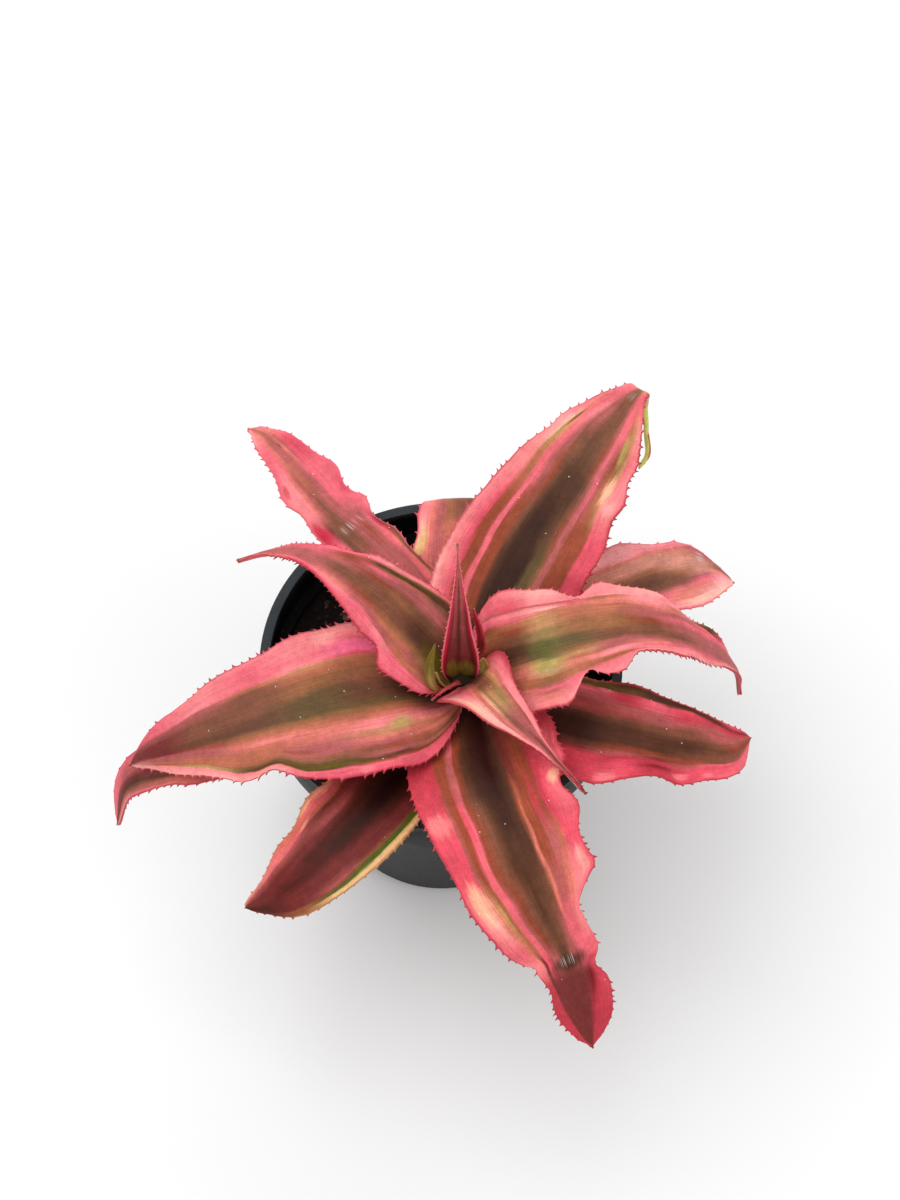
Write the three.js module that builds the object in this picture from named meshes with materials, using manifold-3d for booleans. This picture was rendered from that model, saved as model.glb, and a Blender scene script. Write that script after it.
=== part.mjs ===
// Earth star bromeliad: a small rosette of stiff, wavy, spiny-edged leaves on a short crown,
// standing in potting mix in a round plastic nursery pot.
// Millimetres, +Z up, +X to the right and -Y to the front. The origin is the centre of the pot's underside.
import * as THREE from "three";
import { mergeVertices } from "three/addons/utils/BufferGeometryUtils.js";
import Module from "manifold-3d";

const wasm = await Module();
wasm.setup();

// ---------------------------------------------------------------- driving dimensions

const GAP = 0.3; // clearance between pieces that rest on or stand in each other
const WELD = 1e-5; // corners closer than this are one

// Pot: a thin tapered shell with a wider collar under a flat lip, and slots in its floor.
const POT_HEIGHT = 58;
const LIP_RADIUS = 33;
const LIP_WIDTH = 1.8;
const LIP_DEPTH = 1.4;
const COLLAR_HEIGHT = 9.5;
const COLLAR_STEP = 1.5;
const COLLAR_DRAFT = 0.4; // how much the collar narrows towards its lower edge
const FOOT_RADIUS = 22.8;
const FOOT_ROUND = 1.2;
const WALL = 1.0;
const POT_SIDES = 56;
const SLOT_COUNT = 6;
const SLOT_WIDTH = 3.4;
const SLOT_LENGTH = 8;
const SLOT_RADIUS = 15.5; // from the pot's axis to the middle of each slot
const SLOT_SEGMENTS = 4;

// Potting mix: a plug that fills the pot to below its collar, with an uneven top.
const SOIL_TOP = 47.8;
const SOIL_LUMP = 0.9; // height of the lumps on its top
const SOIL_WAVES = [[0.9, 1.3, 0], [-0.7, 1.1, 2], [0.45, -0.35, 4]]; // rate along X, along Y, and start
const SOIL_RINGS = 7;
const SOIL_SIDES = 42;

// Crown: the short stem that carries the leaves, planted a little off the pot's centre.
const CROWN = new THREE.Vector3(3.8, -5.5, 0);
const CROWN_SIDES = 20;
const CROWN_PROFILE = [
  [2.6, 43],
  [4.0, 46.5],
  [4.2, 52],
  [3.9, 56],
  [3.4, 60],
  [3.0, 62.6],
  [2.4, 64.4],
];
const CROWN_TIP = 65.2;

// Leaf blades.
const BLADE_MIDDLE = 0.95; // thickness at the midrib
const BLADE_EDGE = 0.65; // thickness at the margins
const TOOTH_PITCH = 2.6;
const TOOTH_HEIGHT = 0.55;
const TOOTH_LEAN = 0.25; // how far each tooth leans to the tip, as a share of the pitch
const COLUMNS = [-1, -0.55, 0, 0.55, 1]; // corners across a blade, as shares of its half width
const MIN_ROWS = 4;
const MIN_HALF = 0.3; // a blade's least half width
const NORMAL_STEP = 1e-3;

// Each leaf, from the lowest to the heart.
//   heading     the way it grows, in degrees from +X towards +Y
//   midrib      points from the crown to the tip
//   left, right half widths, evenly spaced along the leaf, as seen looking out along it
//   roll        degrees, positive lifts the left margin
//   rise        how far the margins rise above the midrib, as a share of the half width
//   leftWaves, rightWaves   how far the margin's waves lift it and sway it outwards, in mm, how many
//               waves the leaf has, and where in a wave it starts
const LEAVES = [
  {
    name: "leaf_outer_right_back",
    heading: 22,
    midrib: [
      [3.8, -5.5, 49.6], [11, 1, 53.5], [19, 8, 57], [27.5, 13, 59.8],
      [36.5, 16, 61], [45, 18, 60.5], [51, 18.5, 57.5], [54.5, 17.8, 54],
    ],
    left: [2.4, 6, 6.6, 6.6, 6.3, 6.2, 4, 0.4],
    right: [2.4, 6, 7.2, 8, 8.6, 9, 8.4, 0.4],
    roll: [8, 0, 0],
    rise: [0, 0.05, 0.1, 0.1],
    leftWaves: [0.5, 0.5, 5, 0.1],
    rightWaves: [0.5, 0.4, 5, 0.3],
  },
  {
    name: "leaf_outer_left_front",
    heading: 229,
    midrib: [
      [3.8, -5.5, 50.8], [0, -11.5, 54.6], [-5, -18, 57.4], [-12, -26.5, 59.3],
      [-18.5, -34.5, 59.4], [-24.5, -40, 57.4], [-29.5, -42.5, 54], [-34.5, -44, 48.5],
    ],
    left: [2.4, 6.5, 8.6, 10, 10, 8.8, 6.2, 0.4],
    right: [2.4, 6.5, 7.6, 8, 7.6, 6.4, 3.2, 0.4],
    roll: [4, 0, 0],
    rise: [0, 0.05, 0.1, 0.1],
    leftWaves: [0.3, 0.2, 4, 0],
    rightWaves: [0.5, 0.5, 5, 0.25],
  },
  {
    name: "leaf_outer_back",
    heading: 93,
    midrib: [
      [3.8, -5.5, 51.6], [3.6, 3, 55.6], [3.2, 12, 58.2], [2.6, 21, 59.5], [2.2, 28, 59.8],
      [2, 33.6, 58.6], [1.8, 34.7, 51.5], [1.6, 34.7, 44.5],
    ],
    left: [2.4, 5.8, 7, 7.8, 7.4, 5.4, 3.8, 0.4],
    right: [2.4, 5.6, 6.4, 6.8, 7, 6.4, 4.4, 0.4],
    roll: [4, 0, 0],
    rise: [0, 0.05, 0.05, 0],
    leftWaves: [0.3, 0.4, 5, 0.2],
    rightWaves: [0.3, 0.4, 5, 0.5],
  },
  {
    name: "leaf_outer_left",
    heading: 204,
    midrib: [
      [3.8, -5.5, 53], [-6, -9.2, 57.5], [-16, -13.2, 60.4], [-27, -17.2, 61.6],
      [-38.5, -20.2, 60.2], [-48.5, -20.5, 55.8], [-56.5, -20.8, 49.5], [-59, -25.5, 41.5],
    ],
    left: [2.2, 4.8, 6, 5.6, 4.4, 3.4, 2.8, 0.4],
    right: [2.4, 6, 7, 7.2, 7, 5.6, 4.2, 0.4],
    roll: [8, 4, 0],
    rise: [0, 0.05, 0.1, 0.1],
    leftWaves: [0.3, 0.3, 6, 0.2],
    rightWaves: [0.4, 0.4, 6, 0.5],
  },
  {
    name: "leaf_outer_right",
    heading: 344,
    midrib: [
      [3.8, -5.5, 53.8], [12, -9.5, 58], [20, -13, 60.4], [28.5, -15.7, 61.8],
      [36, -17, 61.8], [44, -17.4, 60], [51, -16.6, 57.2], [55.8, -13.6, 54],
    ],
    left: [2.4, 5, 7, 8.3, 9, 9.2, 9.2, 9.4, 9.2, 8.2, 7.2, 6.2, 4.8, 3.1, 0.4],
    right: [2.4, 4.6, 6.5, 7.6, 8.6, 9.6, 10.4, 10.5, 8.7, 7.5, 8.1, 6.9, 6.1, 4.2, 0.4],
    roll: [6, 0, 0],
    rise: [0, 0.1, 0.1, 0.1],
    leftWaves: [0.3, 0, 4, 0],
    rightWaves: [0.6, 0, 4, -0.3],
  },
  {
    name: "leaf_outer_left_back",
    heading: 127,
    midrib: [
      [3.8, -5.5, 54.8], [0.5, 4, 59], [-5, 13.5, 61.4], [-12, 21.5, 62.2],
      [-20, 29.5, 61], [-27, 38, 60.3], [-33.5, 46, 58], [-37.5, 52.5, 52.5],
    ],
    left: [2.4, 4.5, 6, 6.5, 6.6, 6.6, 6.5, 6.5, 6.5, 6.5, 5.4, 6, 4.2, 3, 2.1, 0.9, 0.4],
    right: [2.4, 4.4, 5.8, 6, 5.8, 5, 4.2, 5.2, 4.2, 6.2, 5, 6.4, 5.4, 4.9, 4.1, 2.4, 0.4],
    roll: [6, 0, 0],
    rise: [0, 0.05, 0.1, 0.1],
    leftWaves: [0.4, 0, 7, 0.1],
    rightWaves: [0.4, 0, 7, 0.5],
  },
  {
    name: "leaf_middle_front",
    heading: 288,
    midrib: [
      [3.8, -5.5, 55.8], [5.5, -14.5, 61], [7.5, -25, 65.6], [10.5, -34.5, 67.6],
      [14, -43, 67], [18, -50, 63.5], [22, -55.5, 56.5], [24.5, -61, 48.5],
      [26.5, -67, 41],
    ],
    left: [2.2, 7.5, 12, 14, 13.8, 14, 11.6, 13.1, 11.2, 10.6, 7.2, 5.3, 5.4, 5.2, 5.3, 4.3, 0.4],
    right: [2.2, 5.5, 9, 11.4, 13, 13.2, 13, 12.8, 11.8, 11.8, 10.7, 9.1, 7, 5.1, 5.1, 3.6, 0.4],
    roll: [6, 0, 0],
    rise: [0, 0.05, 0.1, 0.1],
    leftWaves: [0.9, 0, 4, 0.91],
    rightWaves: [0.8, 0, 5, 0.1],
  },
  {
    name: "leaf_middle_right_back",
    heading: 61,
    midrib: [
      [3.8, -5.5, 57.3], [7.5, 3, 62.8], [12, 12, 67.4], [17.5, 21, 71.8], [23, 29, 75.8],
      [29, 36.5, 79.3], [35.8, 43, 80.8], [37, 41.8, 76.6], [37.6, 38.8, 74.2], [37.9, 35, 72.6],
      [36.2, 32, 72.4],
    ],
    left: [
      2.4, 5.3, 8.5, 10.9, 12.4, 13.1, 12.8, 12.2, 11.9, 11.5, 10.4, 9, 7.7, 7.3, 5, 2.9, 1.8, 0.6, 0.35,
      0.35, 0.3,
    ],
    right: [
      2.2, 5.1, 8.1, 10.7, 12.4, 13.2, 13.4, 13.2, 13.4, 12.9, 12, 12.3, 10.4, 10, 7.8, 4.7, 1.8, 0.6,
      0.35, 0.35, 0.3,
    ],
    roll: [6, 0, 0],
    rise: [0, 0.1, 0.1, 0.2, 0.3],
    leftWaves: [0.8, 0.2, 5, 0.5],
    rightWaves: [0.8, 0, 6, 0.07],
  },
  {
    name: "leaf_middle_left",
    heading: 195,
    midrib: [
      [3.8, -5.5, 58.8], [-3.5, -8.2, 64], [-12, -11, 67.6], [-22, -14, 69],
      [-32.5, -16, 68], [-43, -17.3, 64.4], [-51, -18.8, 59.8], [-55.5, -19.5, 55],
    ],
    left: [2, 7.4, 12.4, 15, 15.6, 15.4, 14.3, 13, 10.4, 10.8, 9.3, 7.6, 5.4, 2.6, 0.4],
    right: [2.2, 6, 9.6, 12.4, 14, 13.9, 13.4, 12.3, 10.7, 9.2, 7.7, 5.5, 4.3, 2.7, 0.4],
    roll: [5, 0, -10, -10],
    rise: [0, 0.05, 0.05, 0],
    leftWaves: [0.9, 0, 4.5, 0.87],
    rightWaves: [0.6, 0, 5, 0],
  },
  {
    name: "leaf_upper_right",
    heading: 5,
    midrib: [
      [3.8, -5.5, 59.4], [10.5, -4.5, 66.2], [18, -4, 71.8], [26, -3.5, 74.8],
      [34, -2, 74.6], [42, -1, 70.8], [49, -1, 64], [53.5, -1.5, 57],
      [55, -3, 50],
    ],
    left: [2.4, 6.5, 10.5, 12.1, 11, 9.7, 7.2, 9, 7.9, 6.7, 4.9, 3.8, 3.5, 2.5, 1.2, 0.7, 0.4],
    right: [
      2.4, 4.4, 6.4, 8.6, 10.3, 11.3, 11.8, 12, 11.6, 6.4, 7.3, 7.4, 4.8, 4.7, 4.8, 4.8, 4.2, 3.7, 3.1,
      2.6, 2.1, 1.8, 1.2, 0.8, 0.4,
    ],
    roll: [12, 4, 0],
    rise: [0, 0.1, 0.15, 0.1],
    leftWaves: [0.6, 0, 5, 0.35],
    rightWaves: [1, 0, 3, 0.5],
  },
  {
    name: "leaf_upper_left",
    heading: 145,
    midrib: [
      [3.8, -5.5, 61.2], [-1, -4, 68], [-7, 0.5, 72.8], [-13, 3.5, 76.8], [-19.5, 7.5, 78.6],
      [-26, 11.5, 77.8], [-31.5, 13, 74.4], [-36.5, 14, 70],
    ],
    left: [1.8, 4.4, 7.6, 9.1, 9.8, 6.8, 6.5, 4.9, 3.4, 2, 1.6, 1.5, 0.6, 0.4, 0.35],
    right: [2, 5.5, 8.2, 9, 9, 8.1, 7.4, 6.8, 5, 4.3, 2.3, 1.2, 0.6, 0.4, 0.35],
    roll: [6, 0, 0],
    rise: [0, 0.1, 0.2, 0.2],
    leftWaves: [0.3, 0, 5, 0.8],
    rightWaves: [0.4, 0, 4, 0.3],
  },
  {
    name: "leaf_upper_front",
    heading: 310,
    midrib: [
      [4.9, -6.9, 62.7], [7, -9.4, 67.6], [9.6, -13.2, 70.9], [13.2, -18, 72.3],
      [17.8, -23.6, 72], [21.8, -27.6, 70.4], [25, -30.4, 68],
    ],
    left: [1.2, 4.2, 6.5, 5.5, 4.1, 3.2, 2.6, 1.9, 1.1, 0.7, 0.5, 0.4, 0.3],
    right: [1.2, 5, 6.2, 6.3, 5.3, 5, 4, 2.5, 1.3, 0.7, 0.5, 0.4, 0.3],
    roll: [10, 0, 0],
    rise: [0.1, 0.2, 0.2],
    leftWaves: [0.15, 0, 4, 0],
    rightWaves: [0.15, 0, 4, 0.4],
  },
  {
    name: "leaf_heart_back",
    heading: 60,
    midrib: [[4.9, -4, 63.2], [7.1, -2.4, 68], [6.9, -1.2, 72.4], [5.7, 0.6, 77.2]],
    left: [0.7, 1.1, 1.1, 0.35],
    right: [0.7, 1.1, 1.1, 0.35],
    roll: [0, 0],
    rise: [0.2, 0.2],
    leftWaves: [0, 0, 1, 0],
    rightWaves: [0, 0, 1, 0],
  },
  {
    name: "leaf_heart_spike",
    heading: 90,
    midrib: [
      [3.8, -6, 62.6], [3.4, -5.7, 68.9], [3.2, -4, 74.3], [3.2, -1.1, 79.5], [3.1, 2.4, 84.6],
      [2.9, 6.8, 89.5],
    ],
    left: [0.9, 2.2, 3.6, 3.5, 2.9, 2.1, 1.7, 1.4, 0.9, 0.5, 0.35],
    right: [0.9, 2.2, 3.6, 3.8, 3.2, 2.3, 1.8, 1.4, 0.9, 0.5, 0.35],
    roll: [0, 0],
    rise: [0.35, 0.3],
    leftWaves: [0, 0, 1, 0],
    rightWaves: [0, 0, 1, 0],
  },
  {
    name: "leaf_heart_hook",
    heading: 220,
    midrib: [[3.4, -7.5, 64.2], [3, -9, 67.4], [1, -11.2, 69.6], [-1.6, -13.5, 69.9]],
    left: [0.5, 0.6, 0.6, 0.35],
    right: [0.5, 0.6, 0.6, 0.35],
    roll: [0, 0],
    rise: [0.2, 0.2],
    leftWaves: [0, 0, 1, 0],
    rightWaves: [0, 0, 1, 0],
  },
  {
    name: "leaf_heart_green",
    heading: 180,
    midrib: [[1, -7.6, 65.3], [-0.8, -8.8, 67.4], [-2.1, -9, 69], [-2.2, -7.9, 71], [-1.4, -6.4, 73]],
    left: [0.4, 0.7, 1, 0.9, 0.35],
    right: [0.4, 0.7, 1, 0.9, 0.35],
    roll: [0, 0],
    rise: [0.2, 0.2],
    leftWaves: [0, 0, 1, 0],
    rightWaves: [0, 0, 1, 0],
  },
];

// ---------------------------------------------------------------- curves and solids

// A value along an evenly spaced list, smooth through every entry.
function along(list, t) {
  const last = list.length - 1;
  const x = THREE.MathUtils.clamp(t, 0, 1) * last;
  const i = Math.min(Math.floor(x), last - 1);
  const f = x - i;
  const a = list[i];
  const b = list[i + 1];
  const before = i > 0 ? list[i - 1] : 2 * a - b;
  const after = i + 2 <= last ? list[i + 2] : 2 * b - a;
  const slopeA = (b - before) / 2;
  const slopeB = (after - a) / 2;
  const square = 3 * (b - a) - 2 * slopeA - slopeB;
  const cube = 2 * (a - b) + slopeA + slopeB;
  return a + f * (slopeA + f * (square + f * cube));
}

// A closed manifold solid from a geometry, for cutting and joining.
function solidOf(geometry) {
  const bare = geometry.clone();
  bare.deleteAttribute("normal");
  bare.deleteAttribute("uv");
  const merged = mergeVertices(bare, WELD);
  return new wasm.Manifold(new wasm.Mesh({
    numProp: 3,
    vertProperties: new Float32Array(merged.attributes.position.array),
    triVerts: new Uint32Array(merged.index.array),
  }));
}

// The largest body of a solid: cutting a leaf's foot away can leave a sliver of a tooth beside it.
function largestBody(solid) {
  return solid.decompose().reduce((a, b) => (b.volume() > a.volume() ? b : a));
}

function geometryOf(solid) {
  const mesh = solid.getMesh();
  const geometry = new THREE.BufferGeometry();
  geometry.setAttribute("position", new THREE.BufferAttribute(new Float32Array(mesh.vertProperties), 3));
  geometry.setIndex(new THREE.BufferAttribute(new Uint32Array(mesh.triVerts), 1));
  geometry.computeVertexNormals();
  return geometry;
}

function geometryFrom(points, faces) {
  const geometry = new THREE.BufferGeometry();
  geometry.setAttribute("position", new THREE.Float32BufferAttribute(points.flatMap((p) => p.toArray()), 3));
  geometry.setIndex(faces.flat());
  geometry.computeVertexNormals();
  return geometry;
}

// A turned solid from [radius, height] pairs that start and end on the axis.
function turned(profile, sides, centre = new THREE.Vector3()) {
  const outline = profile.map(([radius, height]) => new THREE.Vector2(radius, height));
  const geometry = new THREE.LatheGeometry(outline, sides);
  geometry.rotateX(Math.PI / 2);
  geometry.translate(centre.x, centre.y, centre.z);
  return geometry;
}

// ---------------------------------------------------------------- leaves

// The midrib's place and the directions to the left margin and up from the blade there.
function midribFrame(leaf, t) {
  const at = leaf.curve.getPointAt(t);
  const out = leaf.curve.getTangentAt(t);
  const heading = THREE.MathUtils.degToRad(leaf.heading);
  const side = new THREE.Vector3(-Math.sin(heading), Math.cos(heading), 0);
  side.addScaledVector(out, -side.dot(out)).normalize();
  const roll = THREE.MathUtils.degToRad(along(leaf.roll, t));
  side.applyAxisAngle(out, roll);
  return { at, out, side, up: new THREE.Vector3().crossVectors(out, side) };
}

// A point of the blade's middle surface. t runs from the crown, 0, to the tip, 1, and v from the right
// margin, -1, to the left one, 1. reach moves it outwards past the margin.
function bladePoint(leaf, t, v, reach = 0) {
  const { at, side, up } = midribFrame(leaf, t);
  const half = Math.max(along(v > 0 ? leaf.left : leaf.right, t), MIN_HALF);
  const [lift, sway, count, start] = v > 0 ? leaf.leftWaves : leaf.rightWaves;
  const swell = Math.sqrt(Math.sin(Math.PI * t)) * Math.abs(v) ** 3;
  const wave = swell * Math.sin(2 * Math.PI * (count * t + start));
  const out = half * Math.abs(v) + sway * wave + reach;
  const height = along(leaf.rise, t) * half * v * v + lift * wave;
  return at.addScaledVector(side, Math.sign(v) * out).addScaledVector(up, height);
}

function bladeNormal(leaf, t, v) {
  const t0 = Math.max(t - NORMAL_STEP, 0);
  const t1 = Math.min(t + NORMAL_STEP, 1);
  const v0 = Math.max(v - NORMAL_STEP, -1);
  const v1 = Math.min(v + NORMAL_STEP, 1);
  const lengthwise = bladePoint(leaf, t1, v).sub(bladePoint(leaf, t0, v));
  const sideways = bladePoint(leaf, t, v1).sub(bladePoint(leaf, t, v0));
  return lengthwise.cross(sideways).normalize();
}

// One leaf as a thin closed blade with a toothed margin. Both faces are split into triangles alike:
// each corner has its upper point at an even place in the list and its under point right after it.
function leafGeometry(leaf) {
  const midrib = leaf.midrib.map((p) => new THREE.Vector3(...p));
  leaf.curve = new THREE.CatmullRomCurve3(midrib, false, "catmullrom", 0.5);
  const rows = Math.max(MIN_ROWS, Math.round(leaf.curve.getLength() / TOOTH_PITCH));
  const points = [];
  const corner = (t, v, reach = 0) => {
    const middle = bladePoint(leaf, t, v, reach);
    const normal = bladeNormal(leaf, t, v);
    const half = THREE.MathUtils.lerp(BLADE_MIDDLE, BLADE_EDGE, Math.abs(v)) / 2;
    points.push(middle.clone().addScaledVector(normal, half), middle.addScaledVector(normal, -half));
    return points.length - 2;
  };
  const grid = Array.from({ length: rows }, (_, row) => COLUMNS.map((v) => corner(row / rows, v)));
  const tip = corner(1, 0);
  const rightRim = [];
  const leftRim = [];
  const upper = [];
  grid.forEach((here, row) => {
    const next = grid[row + 1] ?? COLUMNS.map(() => tip);
    const toothAt = (row + 0.5 + TOOTH_LEAN) / rows;
    const reach = row + 1 < rows ? TOOTH_HEIGHT : 0;
    const rightTooth = corner(toothAt, -1, reach);
    const leftTooth = corner(toothAt, 1, reach);
    rightRim.push(here[0], rightTooth);
    leftRim.unshift(leftTooth, here[4]);
    upper.push(
      [here[0], rightTooth, here[1]],
      [rightTooth, next[1], here[1]],
      [rightTooth, next[0], next[1]],
      [here[1], next[1], next[2]],
      [here[1], next[2], here[2]],
      [here[2], next[2], next[3]],
      [here[2], next[3], here[3]],
      [here[3], leftTooth, here[4]],
      [here[3], next[3], leftTooth],
      [leftTooth, next[3], next[4]],
    );
  });
  const faces = upper
    .filter(([a, b, c]) => a !== b && b !== c && c !== a)
    .flatMap(([a, b, c]) => [[a, b, c], [a + 1, c + 1, b + 1]]);
  const loop = [...rightRim, tip, ...leftRim, grid[0][3], grid[0][2], grid[0][1]];
  loop.forEach((a, i) => {
    const b = loop[(i + 1) % loop.length];
    faces.push([a, a + 1, b + 1], [a, b + 1, b]);
  });
  return geometryFrom(points, faces);
}

// ---------------------------------------------------------------- crown, potting mix and pot

function crownGeometry(clearance = 0) {
  const profile = CROWN_PROFILE.map(([radius, height]) => [radius + clearance, height]);
  profile[0][1] -= clearance;
  profile.at(-1)[1] += clearance;
  return turned([[0, profile[0][1]], ...profile, [0, CROWN_TIP + clearance]], CROWN_SIDES, CROWN);
}

// The pot's inner radius at a height on its tapered wall.
function wallRadius(height) {
  const top = POT_HEIGHT - COLLAR_HEIGHT;
  const share = (height - FOOT_ROUND) / (top - FOOT_ROUND);
  return THREE.MathUtils.lerp(FOOT_RADIUS, LIP_RADIUS - COLLAR_DRAFT - COLLAR_STEP, share) - WALL;
}

// A cutter for one drain slot, taller than the floor it goes through.
function slotGeometry(turn) {
  const outline = new THREE.Shape();
  const reach = (SLOT_LENGTH - SLOT_WIDTH) / 2;
  outline.absarc(reach, 0, SLOT_WIDTH / 2, -Math.PI / 2, Math.PI / 2);
  outline.absarc(-reach, 0, SLOT_WIDTH / 2, Math.PI / 2, 1.5 * Math.PI);
  const cutter = new THREE.ExtrudeGeometry(outline, {
    depth: 3 * WALL,
    bevelEnabled: false,
    curveSegments: SLOT_SEGMENTS,
  });
  cutter.translate(SLOT_RADIUS, 0, -WALL);
  return cutter.rotateZ(turn);
}

function potGeometry() {
  const collarFoot = POT_HEIGHT - COLLAR_HEIGHT;
  const collar = LIP_RADIUS - COLLAR_DRAFT;
  const bevel = FOOT_ROUND * (1 - Math.SQRT1_2);
  const shell = turned([
    [0, 0],
    [FOOT_RADIUS - FOOT_ROUND, 0],
    [FOOT_RADIUS - bevel, bevel],
    [FOOT_RADIUS, FOOT_ROUND],
    [collar - COLLAR_STEP, collarFoot],
    [collar, collarFoot],
    [LIP_RADIUS, POT_HEIGHT],
    [LIP_RADIUS - LIP_WIDTH, POT_HEIGHT],
    [LIP_RADIUS - LIP_WIDTH, POT_HEIGHT - LIP_DEPTH],
    [collar - WALL, collarFoot + WALL],
    [collar - COLLAR_STEP - WALL, collarFoot],
    [wallRadius(WALL + FOOT_ROUND), WALL + FOOT_ROUND],
    [wallRadius(WALL + FOOT_ROUND) - FOOT_ROUND, WALL],
    [0, WALL],
  ], POT_SIDES);
  let pot = solidOf(shell);
  for (let slot = 0; slot < SLOT_COUNT; slot++) {
    pot = pot.subtract(solidOf(slotGeometry((slot / SLOT_COUNT) * 2 * Math.PI)));
  }
  return geometryOf(pot);
}

// The height of the potting mix's lumpy top.
function soilHeight(x, y) {
  const lumps = SOIL_WAVES.reduce((sum, [kx, ky, start]) => sum + Math.sin(kx * x + ky * y + start), 0);
  return SOIL_TOP + (SOIL_LUMP / SOIL_WAVES.length) * lumps;
}

function soilGeometry() {
  const floor = WALL + GAP;
  const foot = wallRadius(floor + FOOT_ROUND) - FOOT_ROUND - GAP;
  const top = wallRadius(SOIL_TOP) - GAP;
  const rings = Array.from({ length: SOIL_RINGS }, (_, ring) => [top * (1 - ring / SOIL_RINGS), SOIL_TOP]);
  const plug = turned([
    [0, floor],
    [foot, floor],
    [foot + FOOT_ROUND, floor + FOOT_ROUND],
    ...rings,
    [0, SOIL_TOP],
  ], SOIL_SIDES);
  const position = plug.attributes.position;
  for (let i = 0; i < position.count; i++) {
    const x = position.getX(i);
    const y = position.getY(i);
    if (position.getZ(i) > SOIL_TOP - WELD && Math.hypot(x, y) < top - WELD) {
      position.setZ(i, soilHeight(x, y));
    }
  }
  return geometryOf(solidOf(plug).subtract(solidOf(crownGeometry(GAP))));
}

// ---------------------------------------------------------------- the plant in its pot

const FINISHES = {
  pot: { color: 0x24292c, roughness: 0.5, metalness: 0 },
  potting_mix: { color: 0x2a1a12, roughness: 1, metalness: 0 },
  crown: { color: 0x6f7d34, roughness: 0.6, metalness: 0 },
  leaf: { color: 0xb8445a, roughness: 0.42, metalness: 0 },
};

function piece(name, geometry, finish) {
  const mesh = new THREE.Mesh(geometry, new THREE.MeshStandardMaterial(FINISHES[finish]));
  mesh.name = name;
  return mesh;
}

const plant = new THREE.Group();
plant.add(piece("pot", potGeometry(), "pot"));
plant.add(piece("potting_mix", soilGeometry(), "potting_mix"));
plant.add(piece("crown", crownGeometry(), "crown"));
const socket = solidOf(crownGeometry(GAP));
for (const leaf of LEAVES) {
  const blade = largestBody(solidOf(leafGeometry(leaf)).subtract(socket));
  plant.add(piece(leaf.name, geometryOf(blade), "leaf"));
}

export default plant;
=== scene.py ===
"""Earth star bromeliad in a round nursery pot: fine leaves, potting mix and pot, with their finishes."""
import math
import random

import bmesh
import bpy
import numpy as np
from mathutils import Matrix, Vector, noise


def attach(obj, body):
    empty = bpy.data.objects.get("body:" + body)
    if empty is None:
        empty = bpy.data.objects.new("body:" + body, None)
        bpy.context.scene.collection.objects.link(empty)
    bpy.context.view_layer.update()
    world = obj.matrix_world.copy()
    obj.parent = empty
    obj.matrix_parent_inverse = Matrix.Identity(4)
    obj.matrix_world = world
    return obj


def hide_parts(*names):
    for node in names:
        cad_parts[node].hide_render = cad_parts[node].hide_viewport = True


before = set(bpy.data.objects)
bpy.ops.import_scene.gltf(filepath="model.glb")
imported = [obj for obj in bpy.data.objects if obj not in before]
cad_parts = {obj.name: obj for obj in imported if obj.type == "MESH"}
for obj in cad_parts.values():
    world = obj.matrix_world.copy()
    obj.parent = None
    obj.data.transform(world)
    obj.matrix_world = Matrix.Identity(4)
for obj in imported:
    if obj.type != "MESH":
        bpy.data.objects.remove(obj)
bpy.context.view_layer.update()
bpy.ops.object.select_all(action="DESELECT")

MM = 0.001

# ---------------------------------------------------------------- sizes, in millimetres

POT_HEIGHT, LIP_RADIUS, LIP_WIDTH, LIP_DEPTH = 58, 33, 1.8, 1.4
COLLAR_HEIGHT, COLLAR_STEP, COLLAR_DRAFT = 9.5, 1.5, 0.4
FOOT_RADIUS, FOOT_ROUND, FOOT_CHAMFER, WALL = 22.8, 1.2, 0.35, 1.0
EDGE_ROUND, POT_STEPS = 0.28, 180
SLOT_COUNT, SLOT_WIDTH, SLOT_LENGTH, SLOT_RADIUS = 6, 3.4, 8, 15.5

SOIL_TOP, SOIL_GAP, SOIL_TOP_GAP = 47.8, 0.3, 0.1
SOIL_RINGS, SOIL_STEPS = 70, 150
SOIL_LUMPS = [(0.16, 0.45), (0.5, 0.4), (1.3, 0.22)]  # noise: pace per mm, height
CRUMB_COUNT, CRUMB_SIZES, CRUMB_MARGIN, CRUMB_LIFT = 620, (0.25, 0.6), 1.2, 0.12
LARGE_CRUMB, LARGE_SHARE = 1.9, 0.14
CRUMB_TURNS = [(-0.5, 0.5), (-0.5, 0.5), (0, 6.3)]
CRUMB_LONG, CRUMB_FLAT, CRUMB_DENTS = (0.7, 1.6), (0.25, 0.7), (0.7, 1.25)  # shares of its size

TOOTH_PLACES = [0, 0.25, 0.42, 0.52, 0.6, 0.66, 0.72, 0.8]  # stations along a spine's foot, in pitches
TOOTH_FORM = [0, 0.02, 0.1, 0.32, 0.7, 1, 0.25, 0.03]  # the spine's height at each of them
TOOTH_LEAN = 0.45  # how far a spine's point leans towards the leaf's tip, in spine heights
TOOTH_SIZES, TOOTH_PITCHES = (0.35, 1.2), (0.65, 1.4)  # least and greatest, as shares of the leaf's own
TOOTH_MISSING = 0.12  # the share of the spines that are missing
TOOTH_EDGE = 0.05  # the outer share of the blade's half width that the spines rise from
SLIDE, STAGGER = 0.35, 0.22  # in pitches: how far the spines stray along a margin, and left from right
SLIDE_POINTS = 12
SPINES_FROM, SPINES_FADE = 0.08, 0.04  # shares of the leaf over which the spines grow, and fade
BLADE_MIDDLE, BLADE_TIP = 0.9, 0.12  # thickness at the midrib and at the spines' points
EDGE_THINNING, THICKNESS_LEVELS = 0.64, 40  # how much thinner the margins are, and in how many steps
LEAST = 0.1  # the least half width of a blade
TIP_ROUND = 0.02  # the share of the leaf over which its tip rounds off
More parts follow.
